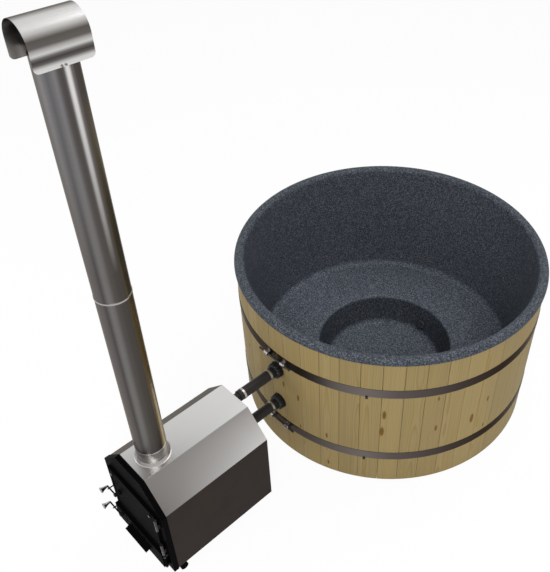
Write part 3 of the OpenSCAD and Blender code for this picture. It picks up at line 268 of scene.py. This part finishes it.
def planed_spruce():
    """Planed and oiled spruce boards: straight yellow grain, each board its own tone, brown knots."""
    material, tree = new_material("planed_spruce")
    place = object_place(tree)
    x, y, z = parts(tree, place)
    board, across = boards(tree, x, y)
    chance = add(tree, "ShaderNodeTexWhiteNoise", {"W": board}, noise_dimensions="1D").outputs["Color"]
    side_chance, lean_chance, tone_chance = add(tree, "ShaderNodeSeparateColor", {"Color": chance}).outputs
    # Each board is cut from its own part of the log
    log_size = (9.0, 7.0, 5.0)
    shift = vector_calc(tree, "MULTIPLY", chance, log_size)
    flat = add(tree, "ShaderNodeCombineXYZ", {"X": across, "Z": z})
    cut = vector_calc(tree, "ADD", flat, shift)
    # Growth rings are coarser than real ones, so that they show, and bend round the knots
    ring_width = 6 * MM
    bend, mark = knots(tree, place)
    radius = pith_distance(tree, cut, across, z, side_chance, lean_chance)
    radius = calc(tree, "ADD", radius, bend)
    rings = calc(tree, "MULTIPLY", radius, 1 / ring_width)
    rings = calc(tree, "FRACT", rings)
    grain = ramp(tree, rings, [(0.0, "#96855c"), (0.55, "#948259"), (0.88, "#8c784c"), (1.0, "#95845b")])
    # Fine fibres and wider streaks run along the board, and each board has its own tone
    fibres_per_metre, streaks_per_metre = (260.0, 260.0, 5.0), (55.0, 55.0, 0.9)
    fibre = noise(tree, vector_calc(tree, "MULTIPLY", cut, fibres_per_metre), scale=1.0, detail=4.0)
    streak = noise(tree, vector_calc(tree, "MULTIPLY", cut, streaks_per_metre), scale=1.0, detail=2.0)
    fibre_share, streak_share = 0.16, 0.34
    tone = span(tree, tone_chance, 0.0, 1.0, start=0.92, end=1.06)
    tone = calc(tree, "MULTIPLY_ADD", fibre, fibre_share, tone)
    tone = calc(tree, "MULTIPLY_ADD", streak, streak_share, tone)
    tone = calc(tree, "SUBTRACT", tone, (fibre_share + streak_share) / 2)
    # Some strips of the boards are heartwood, browner than the rest
    heart = span(tree, streak, 0.56, 0.70, end=0.55)
    grain = blend(tree, heart, grain, linear("#8a7140"))
    wood = scaled(tree, grain, tone)
    knot = ramp(tree, mark, [(0.0, "#958052"), (0.3, "#8a6f3c"), (0.5, "#5c4422"), (0.7, "#75562a"),
                             (1.0, "#523819")])
    amount = span(tree, mark, 0.0, 0.35)
    colour = blend(tree, amount, wood, knot)
    relief = bump(tree, fibre, strength=0.15, distance=0.4 * MM)
    surface(tree, {"Base Color": colour, "Roughness": 0.6, "Specular IOR Level": 0.1, "Normal": relief})
    return material


def speckled_gelcoat():
    """Acrylic with stone-like flecks: close grey and blue-black grains under a dull satin skin."""
    material, tree = new_material("speckled_gelcoat")
    place = object_place(tree)
    # The flecks are coarse enough to show from the camera
    fleck_width, grit_width = 4.4 * MM, 3.5 * MM
    grit_share, paleness = 0.9, 1.22
    flecks = add(tree, "ShaderNodeTexVoronoi", {"Vector": place, "Scale": 1 / fleck_width}, feature="F1")
    fleck = add(tree, "ShaderNodeSeparateColor", {"Color": flecks.outputs["Color"]}).outputs["Red"]
    grit = noise(tree, place, scale=1 / grit_width, detail=3.0)
    mix = calc(tree, "MULTIPLY_ADD", grit, grit_share, fleck)
    mix = calc(tree, "SUBTRACT", mix, grit_share / 2)
    colour = ramp(tree, mix, [(0.0, "#2f3239"), (0.35, "#3b3f47"), (0.62, "#484d55"), (0.85, "#5d626a"),
                              (1.0, "#71757b")])
    # Painted shade: the upright walls, and the well's wall most, are painted darker than the seat and the
    # well's floor, where shade falls on them
    level = span(tree, parts(tree, place)["Z"], WELL_Z, 2 * SEAT_Z)
    # Painted shade ramp by height: white on the seat and the well's floor, grey on the walls
    painted_wall_shade = ramp(tree, level, [(0.0, "#ffffff"), (0.03, "#f4f4f4"), (0.09, "#b4b4b4"), (0.40, "#acacac"),
                              (0.435, "#ffffff"), (0.46, "#ffffff"), (0.56, "#e0e0e0"), (1.0, "#dcdcdc")])
    colour = vector_calc(tree, "MULTIPLY", colour, painted_wall_shade)
    colour = scaled(tree, colour, paleness)
    relief = bump(tree, grit, strength=0.15, distance=0.3 * MM)
    surface(tree, {"Base Color": colour, "Roughness": 0.5, "Specular IOR Level": 0.06, "Normal": relief})
    return material


def brush_marks(tree, place, direction, spacing):
    """Tone from 0 to 1 of fine scratches that run where direction is 1, with a little cloudiness."""
    cloud_share, lengthways = 0.45, 3.0
    scale = [lengthways if part else 1 / spacing for part in direction]
    along = vector_calc(tree, "MULTIPLY", place, scale)
    scratch = noise(tree, along, scale=1.0, detail=3.0)
    cloud = noise(tree, place, scale=5.0, detail=2.0)
    tone = calc(tree, "MULTIPLY", scratch, 1 - cloud_share)
    return calc(tree, "MULTIPLY_ADD", cloud, cloud_share, tone)


def brushed_surface(tree, colour, tone, roughness, edge="#ffffff"):
    """Metal surface whose gloss and height follow the scratches, with the tint that it has seen edge on."""
    change = 0.06
    rough = span(tree, tone, 0.0, 1.0, roughness - change, roughness + change)
    relief = bump(tree, tone, strength=0.06, distance=0.2 * MM)
    surface(tree, {"Base Color": colour, "Metallic": 1.0, "Roughness": rough, "Specular Tint": linear(edge),
                   "Normal": relief})


def scratched(tree, colour, tone, depth):
    """Colour with its brightness varied by the scratches, by depth each way."""
    share = calc(tree, "MULTIPLY_ADD", tone, 2 * depth, 1 - depth)
    return scaled(tree, colour, share)


def turn_share(tree, right, up):
    """Share of a turn, 0 to 1, of the direction (right, up), from straight left and anticlockwise."""
    angle = calc(tree, "ARCTAN2", up, right)
    return calc(tree, "MULTIPLY_ADD", angle, 1 / math.tau, 0.5)


def brushed_stainless(name, pale, dark, roughness, direction):
    """Brushed stainless sheet: fine parallel scratches that draw the light out across them."""
    material, tree = new_material(name)
    tone = brush_marks(tree, object_place(tree), direction, FINE_BRUSH)
    colour = ramp(tree, tone, [(0.3, dark), (0.7, pale)])
    brushed_surface(tree, colour, tone, roughness)
    return material


def bent_hood():
    """Brushed stainless sheet bent over the heater, with painted reflection: the top painted pale, the slopes
    duller, and all of it paler towards the back.
    """
    material, tree = new_material("bent_stainless_hood")
    place = object_place(tree)
    x, y, _ = parts(tree, place)
    across = span(tree, x, -HEATER_HALF_W, HEATER_HALF_W)
    along = span(tree, y, HEATER_FRONT_Y, HEATER_BACK_Y)
    # The folds are 0.286 and 0.714 of the way across
    # Painted reflection: tones of the slopes and the top, at the front and at the back of the sheet
    front_painted_reflection = ramp(tree, across, [(0.0, "#5a544f"), (0.283, "#5c5651"), (0.289, "#b9b8b7"), (0.711, "#9c9a98"),
                                (0.717, "#75726f"), (1.0, "#6e6b69")])
    back = ramp(tree, across, [(0.0, "#4f4a46"), (0.283, "#54504b"), (0.289, "#cccbca"), (0.711, "#cccccb"),
                               (0.717, "#8f8c8a"), (1.0, "#c4c2c0")])
    # The painted reflection goes from the front tones to the back tones along the heater
    both = blend(tree, along, front_painted_reflection, back)
    tone = brush_marks(tree, place, (0, 1, 0), COARSE_BRUSH)
    brushed_surface(tree, scratched(tree, both, tone, depth=0.05), tone, roughness=0.34, edge="#b4b0ac")
    return material


def painted_pipe_reflection(tree, x, y, z):
    """Painted reflection: bright and dark bands along the pipe, where a polished pipe would reflect its
    surroundings.
    """
    off = calc(tree, "SUBTRACT", y, FLUE_Y)
    share = turn_share(tree, x, off)
    upper = ramp(tree, share, [
        (0.0, "#575250"), (0.08, "#6b6765"), (0.13, "#b9b6b4"), (0.17, "#75716e"), (0.26, "#7d7a78"),
        (0.30, "#878586"), (0.36, "#656466"), (0.41, "#7d7b7c"), (0.44, "#565352"), (0.462, "#4d4a48"),
        (0.478, "#5e5a58"), (0.497, "#d9d7d5"), (0.512, "#dedcda"), (0.532, "#746f6c"), (0.56, "#4e4946"),
        (0.62, "#443f3b"), (0.69, "#3c3734"), (0.76, "#67635f"), (0.84, "#8d8a88"), (0.87, "#cfcdcb"),
        (0.90, "#76726f"), (1.0, "#575250")])
    lower = ramp(tree, share, [
        (0.0, "#575250"), (0.08, "#6b6765"), (0.13, "#a9a6a4"), (0.17, "#75716e"), (0.26, "#716d6b"),
        (0.32, "#625e5d"), (0.35, "#4f4b4a"), (0.385, "#73716f"), (0.41, "#6f6c6a"), (0.44, "#565250"),
        (0.49, "#4a4642"), (0.54, "#4a4541"), (0.565, "#7a6e55"), (0.60, "#a89a7c"), (0.64, "#857a66"),
        (0.69, "#3c3734"), (0.76, "#67635f"), (0.84, "#8d8a88"), (0.87, "#b9b7b5"), (0.90, "#76726f"),
        (1.0, "#575250")])
    # Lower down, the painted highlight band is duller and the side towards the tub is straw-coloured, a
    # painted reflection of its wood
    return blend(tree, span(tree, z, REFLECTION_FADE_LOW_Z, REFLECTION_FADE_TOP_Z), lower, upper)


def rolled_pipe():
    """Polished stainless pipe, with painted reflection in bright and dark bands along it that leave it darker
    than bare steel.
    """
    material, tree = new_material("rolled_stainless_pipe")
    place = object_place(tree)
    x, y, z = parts(tree, place)
    # The socket end is paler, with a painted highlight along its top edge, and the painted reflection bands
    # still show there a little
    foot_reflection_share = 0.3
    foot = ramp(tree, span(tree, z, FOOT_LOW_Z, FOOT_TOP_Z), [
        (0.0, "#b4b2b0"), (0.9, "#9c9a98"), (0.95, "#f0efee"), (1.0, "#f0efee")])
    above = calc(tree, "GREATER_THAN", z, FOOT_TOP_Z)
    above = calc(tree, "MAXIMUM", above, foot_reflection_share)
    pipe = blend(tree, above, foot, painted_pipe_reflection(tree, x, y, z))
    tone = brush_marks(tree, place, (1, 1, 0), COARSE_BRUSH)
    brushed_surface(tree, scratched(tree, pipe, tone, depth=0.10), tone, roughness=0.3, edge="#c8c4c0")
    return material


def rolled_hoop():
    """Flat steel band bent round the tub: brushed, with painted reflection in pale stretches and dark
    brown-black ones round it.
    """
    material, tree = new_material("rolled_steel_hoop")
    place = object_place(tree)
    x, y, _ = parts(tree, place)
    # Painted reflection: pale and dark stretches by the direction round the tub
    painted_reflection_bands = ramp(tree, turn_share(tree, x, y), [
        (0.0, "#5a5351"), (0.12, "#3a3431"), (0.185, "#2b2623"), (0.25, "#3d3835"), (0.29, "#4f4a48"),
        (0.345, "#706966"), (0.375, "#5c5553"), (0.43, "#453e3b"), (0.48, "#2d2825"), (0.54, "#231f1c"),
        (0.66, "#4c4644"), (0.78, "#6f6765"), (0.88, "#433c39"), (1.0, "#5a5351")])
    tone = brush_marks(tree, place, (1, 1, 0), COARSE_BRUSH)
    brushed_surface(tree, scratched(tree, painted_reflection_bands, tone, depth=0.12), tone, roughness=0.36, edge="#c0bab6")
    return material


def rolled_cap():
    """Bent stainless cap with painted reflection: bright and dark bands along its curve, where a rolled
    polished sheet would reflect its surroundings.
    """
    material, tree = new_material("rolled_stainless_cap")
    place = object_place(tree)
    x, _, z = parts(tree, place)
    up = calc(tree, "SUBTRACT", z, CAP_AXIS_Z)
    # Painted reflection: bright and dark bands by the direction round the cap's axis
    painted_reflection_bands = ramp(tree, turn_share(tree, x, up), [
        (0.0, "#9b9896"), (0.37, "#dddbd9"), (0.39, "#d2d0ce"), (0.408, "#64605d"), (0.424, "#45413e"),
        (0.441, "#6f6c69"), (0.46, "#cfcdcb"), (0.485, "#a9a6a4"), (0.506, "#65615e"), (0.55, "#58534f"),
        (0.594, "#b0aeac"), (0.65, "#c4c3c2"), (0.70, "#cccbca"), (0.75, "#908d8a"), (0.775, "#6b6765"),
        (0.81, "#7e7b79"), (0.85, "#66625f"), (1.0, "#8a8784")])
    tone = brush_marks(tree, place, (0, 1, 0), COARSE_BRUSH)
    brushed_surface(tree, scratched(tree, painted_reflection_bands, tone, depth=0.06), tone, roughness=0.3, edge="#b8b4b0")
    return material


def polished_chrome(name, colour):
    """Plated steel, a soft mirror with a few dull spots."""
    material, tree = new_material(name)
    spots = noise(tree, object_place(tree), scale=120.0, detail=3.0)
    rough = span(tree, spots, 0.0, 1.0, start=0.2, end=0.4)
    surface(tree, {"Base Color": linear(colour), "Metallic": 1.0, "Roughness": rough})
    return material


def satin_coat(name, pale, dark, roughness, gloss=0.5, grit=1.5 * MM, depth=0.3 * MM):
    """A coat or moulding with a fine even texture and a little cloudiness in its tone."""
    material, tree = new_material(name)
    place = object_place(tree)
    grain = noise(tree, place, scale=1 / grit, detail=3.0)
    cloud = noise(tree, place, scale=9.0, detail=3.0)
    tone = calc(tree, "ADD", grain, cloud)
    tone = calc(tree, "MULTIPLY", tone, 0.5)
    colour = ramp(tree, tone, [(0.35, dark), (0.65, pale)])
    change = 0.08
    rough = span(tree, cloud, 0.0, 1.0, roughness - change, roughness + change)
    relief = bump(tree, grain, strength=0.3, distance=depth)
    surface(tree, {"Base Color": colour, "Roughness": rough, "Specular IOR Level": gloss, "Normal": relief})
    return material


def painted_door():
    """Black stove paint on cast iron, with the steel of the hinge barrels left bare."""
    material, tree = new_material("painted_cast_door")
    place = object_place(tree)
    grain_width = 1.5 * MM
    grain = noise(tree, place, scale=1 / grain_width, detail=3.0)
    paint = ramp(tree, grain, [(0.35, "#030303"), (0.65, "#080808")])
    relief = bump(tree, grain, strength=0.3, distance=0.3 * MM)
    dull = add(tree, "ShaderNodeBsdfPrincipled", {"Base Color": paint, "Roughness": 0.6,
                                                 "Specular IOR Level": 0.01, "Normal": relief})
    steel = add(tree, "ShaderNodeBsdfPrincipled", {"Base Color": linear("#403c39"), "Metallic": 1.0,
                                                  "Roughness": 0.35})
    # The barrels are what lies within their radius of the hinge's upright axis
    away = vector_calc(tree, "SUBTRACT", place, (HINGE_X, HINGE_Y, 0))
    away = vector_calc(tree, "MULTIPLY", away, (1, 1, 0))
    barrel = calc(tree, "LESS_THAN", vector_length(tree, away), HINGE_R)
    both = add(tree, "ShaderNodeMixShader", {"Fac": barrel, 1: dull, 2: steel})
    add(tree, "ShaderNodeOutputMaterial", {"Surface": both})
    return material


def turned_steel():
    """Turned steel with fine rings round an axis along Y."""
    material, tree = new_material("turned_steel_knob")
    _, y, _ = parts(tree, object_place(tree))
    ring_width = 1.6 * MM
    rings = calc(tree, "MULTIPLY", y, 1 / ring_width)
    rings = add(tree, "ShaderNodeTexNoise", {"W": rings, "Scale": 1.0, "Detail": 2.0}, noise_dimensions="1D")
    colour = ramp(tree, rings, [(0.3, "#7d7975"), (0.7, "#bab7b3")])
    relief = bump(tree, rings, strength=0.2, distance=0.2 * MM)
    surface(tree, {"Base Color": colour, "Metallic": 1.0, "Roughness": 0.32, "Normal": relief})
    return material


def turned_brass():
    """Turned brass, a little dulled."""
    material, tree = new_material("turned_brass")
    cloud = noise(tree, object_place(tree), scale=60.0, detail=3.0)
    colour = ramp(tree, cloud, [(0.3, "#9a7838"), (0.7, "#c9a860")])
    surface(tree, {"Base Color": colour, "Metallic": 1.0, "Roughness": 0.32})
    return material


def grid_piece(name, grids, material):
    """Closed surfaces through grids of points: rows run along the profile, and each row closes in a ring.
    Points that coincide, in a ring of no width or where a profile ends on its start, are merged."""
    places, faces = [], []
    for points in grids:
        rows, around, _ = points.shape
        index = sum(len(found) for found in places) + np.arange(rows * around).reshape(rows, around)
        after = np.roll(index, -1, axis=1)
        faces += np.stack([index[:-1], after[:-1], after[1:], index[1:]], axis=-1).reshape(-1, 4).tolist()
        places.append(points.reshape(-1, 3))
    mesh = bpy.data.meshes.new(name)
    mesh.from_pydata(np.concatenate(places).tolist(), [], faces)
    closed = bmesh.new()
    closed.from_mesh(mesh)
    bmesh.ops.remove_doubles(closed, verts=closed.verts, dist=0.001 * MM)
    closed.to_mesh(mesh)
    closed.free()
    mesh.materials.append(material)
    mesh.shade_smooth()
    mesh.set_sharp_from_angle(angle=math.radians(40))
    piece = bpy.data.objects.new(name, mesh)
    bpy.context.scene.collection.objects.link(piece)
    return piece


def turned_knob(name, node, body, material):
    """Flared knob turned round an axis along -Y. Its radius grows with the square of the way along it, from
    the neck to the lip. The lip is a half round, and the end is a shallow dish that closes in a ring of no
    width."""
    low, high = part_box(node)
    middle_x = (low[0] + high[0]) / 2
    middle_z = (low[2] + high[2]) / 2
    back = high[1]
    neck_r, lip_r, length = 7 * MM, 17 * MM, 35 * MM
    lip, dish = 1.8 * MM, 1.4 * MM
    way = np.linspace(0, 1, 24)
    flare = np.stack([neck_r + (lip_r - neck_r) * way ** 2, way * (length - lip)], axis=1)
    angle = np.linspace(0, math.pi, 12)[1:]
    round_lip = np.stack([lip_r - lip + lip * np.cos(angle), length - lip + lip * np.sin(angle)], axis=1)
    inner = np.linspace(1, 0, 12)[1:]
    face = np.stack([inner * (lip_r - 2 * lip), length - lip - dish * (1 - inner ** 2)], axis=1)
    start = np.array([[0, 0]])
    profile = np.concatenate([start, flare, round_lip, face])
    turn = np.linspace(0, math.tau, 48, endpoint=False)
    radius, along = profile[:, :1], profile[:, 1:]
    x = middle_x + radius * np.cos(turn)
    y = back - along + 0 * turn
    z = middle_z + radius * np.sin(turn)
    piece = grid_piece(name, [np.stack([x, y, z], axis=-1)], material)
    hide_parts(node)
    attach(piece, body)


def fluted_nuts(name, node, material):
    """Two black wall nuts round axes along -Y. A nut's radius r(d) runs from a flange on the wood by a grip
    to a slim neck, and flutes take depth(d) x (1 + cos(count x angle)) / 2 off it. The bore leads back to
    the start."""
    low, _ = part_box(node)
    points_per_flute = 8
    turn = np.linspace(0, math.tau, points_per_flute * NUT_FLUTES, endpoint=False)
    flute = (1 + np.cos(NUT_FLUTES * turn)) / 2
    grids = []
    for height in LINE_HEIGHTS:
        wood = STAVE_TOP_R - STAVE_LEAN * (STAVE_TOP_Z - height - NUT_R)
        mouth = -low[1] - wood
        # Each row is the way d along the axis, the radius and the depth of the flutes
        profile = np.array([
            [0, BORE_R, 0],
            [0, NUT_R, 3 * MM],
            [6 * MM, NUT_R, 3 * MM],
            [7 * MM, GRIP_R, 5 * MM],
            [20 * MM, GRIP_R, 6 * MM],
            [34 * MM, GRIP_R - MM, 6 * MM],
            [37 * MM, GRIP_R - 4 * MM, 5 * MM],
            [38 * MM, NECK_R, 0],
            [mouth, NECK_R, 0],
            [mouth, BORE_R, 0],
            [0, BORE_R, 0],
        ])
        along, radius, depth = profile[:, :1], profile[:, 1:2], profile[:, 2:]
        reach = radius - depth * flute
        x = reach * np.cos(turn)
        y = -wood - along + 0 * turn
        z = height + reach * np.sin(turn)
        grids.append(np.stack([x, y, z], axis=-1))
    piece = grid_piece(name, grids, material)
    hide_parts(node)
    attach(piece, "tub_and_heater")


def seen_share(tree):
    """1 for what the camera sees, also in a gloss or through something clear, else 0."""
    path = add(tree, "ShaderNodeLightPath")
    seen = calc(tree, "ADD", path.outputs["Is Camera Ray"], path.outputs["Is Glossy Ray"])
    return calc(tree, "ADD", seen, path.outputs["Is Transmission Ray"], use_clamp=True)


def white_paper():
    """Matt white paper that shows almost pure white and still takes a faint shadow."""
    material, tree = new_material("white_paper")
    glow_share = 0.94
    share = calc(tree, "MULTIPLY", seen_share(tree), glow_share)
    matt = add(tree, "ShaderNodeBsdfDiffuse", {"Color": linear("#f4f4f4")})
    glow = add(tree, "ShaderNodeEmission", {"Color": (1, 1, 1, 1), "Strength": 1.0})
    mixed = add(tree, "ShaderNodeMixShader", {"Fac": share, 1: matt, 2: glow})
    add(tree, "ShaderNodeOutputMaterial", {"Surface": mixed})
    return material


def studio_floor():
    """Square sheet of paper on the ground."""
    half = FLOOR_SPAN / 2
    mesh = bpy.data.meshes.new("studio_floor")
    corners = [(-half, -half, 0), (half, -half, 0), (half, half, 0), (-half, half, 0)]
    mesh.from_pydata(corners, [], [(0, 1, 2, 3)])
    mesh.materials.append(white_paper())
    floor = bpy.data.objects.new("studio_floor", mesh)
    bpy.context.scene.collection.objects.link(floor)


def studio_world():
    """White surroundings that light the part softly."""
    world = bpy.data.worlds.new("studio")
    bpy.context.scene.world = world
    world.use_nodes = True
    tree = world.node_tree
    tree.nodes.clear()
    soft_strength = 0.42
    soft = add(tree, "ShaderNodeBackground", {"Color": (1, 1, 1, 1), "Strength": soft_strength})
    white = add(tree, "ShaderNodeBackground", {"Color": (1, 1, 1, 1), "Strength": 1.0})
    both = add(tree, "ShaderNodeMixShader", {"Fac": seen_share(tree), 1: soft, 2: white})
    add(tree, "ShaderNodeOutputWorld", {"Surface": both})


def softbox(name, place, target, side, power):
    """A square lamp at place that faces target."""
    lamp = bpy.data.lights.new(name, "AREA")
    lamp.shape = "SQUARE"
    lamp.size = side
    lamp.energy = power
    made = bpy.data.objects.new(name, lamp)
    made.location = place
    made.rotation_euler = (Vector(target) - Vector(place)).to_track_quat("-Z", "Y").to_euler()
    bpy.context.scene.collection.objects.link(made)


def photo_camera():
    """Camera that sees the part as the photograph shows it."""
    data = bpy.data.cameras.new("camera")
    data.sensor_width = SENSOR_MM
    data.lens = FOCAL_PX / PHOTO_H * SENSOR_MM
    data.shift_x = (PHOTO_W / 2 - CENTRE_PX[0]) / PHOTO_H
    data.shift_y = (CENTRE_PX[1] - PHOTO_H / 2) / PHOTO_H
    camera = bpy.data.objects.new("camera", data)
    bpy.context.scene.collection.objects.link(camera)
    turn = Matrix.Rotation(math.radians(CAMERA_TURN), 4, "Z")
    tilt = Matrix.Rotation(math.radians(CAMERA_TILT), 4, "X")
    roll = Matrix.Rotation(math.radians(CAMERA_ROLL), 4, "Z")
    camera.matrix_world = Matrix.Translation(CAMERA_PLACE) @ turn @ tilt @ roll
    bpy.context.scene.camera = camera


# Tub
finish(planed_spruce(), "staves", "bored_staves", "base_bearers", "base_boards", "bench_posts")
# The strainer is moulded in the liner's own colour, because none stands out in the photograph
finish(speckled_gelcoat(), "liner", "drain_strainer")
finish(rolled_hoop(), "upper_hoop", "lower_hoop")
finish(polished_chrome("zinc_chrome", "#8d8786"), "hoop_lugs", "hoop_nuts")

# Sheet metal of the heater and the flue
finish(bent_hood(), "hood")
finish(rolled_pipe(), "lower_flue", "upper_flue")
finish(brushed_stainless("bright_band", "#b4b1ae", "#9c9996", roughness=0.4, direction=(0, 0, 1)),
       "flue_band")
finish(rolled_cap(), "rain_cap")
finish(brushed_stainless("brushed_stainless", "#a9a7a5", "#979492", roughness=0.34, direction=(0, 0, 1)),
       "rear_panel", "water_jacket", "flue_collar")
finish(satin_coat("brown_coat", "#2f2723", "#241d1a", roughness=0.55, gloss=0.06),
       "left_panel", "right_panel", "floor_tray")
finish(satin_coat("bare_sheet", "#77736e", "#5b5752", roughness=0.5, gloss=0.3), "door_baffle", "ash_pan")

# Doors, their knobs and fastenings
finish(satin_coat("black_stove_paint", "#080808", "#030303", roughness=0.6, gloss=0.01),
       "front_plate", "ash_door", "heater_plug")
finish(painted_door(), "fire_door")
finish(satin_coat("black_iron", "#121110", "#090808", roughness=0.5, gloss=0.08), "fire_latch", "ash_latch")
finish(polished_chrome("dull_chrome", "#4a4643"),
       "door_bolts", "fire_pivot", "ash_pivot", "hinge_posts", "keeper_pins")
finish(satin_coat("glass_rope", "#c9c4b6", "#a9a496", roughness=0.9, gloss=0.2, grit=3 * MM, depth=2 * MM),
       "door_rope")
finish(satin_coat("blackened_steel", "#2c2a29", "#191817", roughness=0.4, gloss=0.3),
       "hoop_rods", "hoop_clips", "grate", "ash_hinge_pin")
knob_steel = turned_steel()
turned_knob("fire_knob_turned", "fire_knob", "fire_latch", knob_steel)
turned_knob("ash_knob_turned", "ash_knob", "ash_latch", knob_steel)

# Water line and drain
black_plastic = satin_coat("black_plastic", "#161616", "#0c0c0c", roughness=0.38, gloss=0.2)
finish(black_plastic, "wall_unions", "hose_tails", "drain_fitting", "drain_nut")
fluted_nuts("union_nuts_fluted", "union_nuts", black_plastic)
finish(satin_coat("hose_rubber", "#24211e", "#181614", roughness=0.42, gloss=0.2),
       "hoses", "union_gaskets", "foot_pads")
finish(polished_chrome("clamp_chrome", "#aaa5a1"), "hose_clamps")
finish(satin_coat("grey_plastic", "#4a4e53", "#3a3e43", roughness=0.4, gloss=0.3),
       "suction_grilles", "drain_pipe")
finish(turned_brass(), "valve_body", "valve_tail")
finish(brushed_stainless("zinc_steel", "#8a8886", "#706e6b", roughness=0.4, direction=(1, 1, 0)),
       "valve_ball", "valve_stem", "foot_stems", "cap_screws")
finish(satin_coat("red_dip", "#8a1a14", "#6d120e", roughness=0.4), "valve_lever")

# Studio
studio_floor()
studio_world()
softbox("key_light", place=(4.2, -4.2, 6.4), target=(0, -0.3, 0.5), side=3.0, power=385)
softbox("fill_light", place=(-4.5, -5.5, 4.0), target=(0, -0.8, 0.8), side=3.0, power=105)
softbox("top_light", place=(0.5, 2.5, 6.0), target=(0, 0, 0.5), side=4.0, power=140)
photo_camera()
bpy.context.scene.view_settings.view_transform = "Standard"
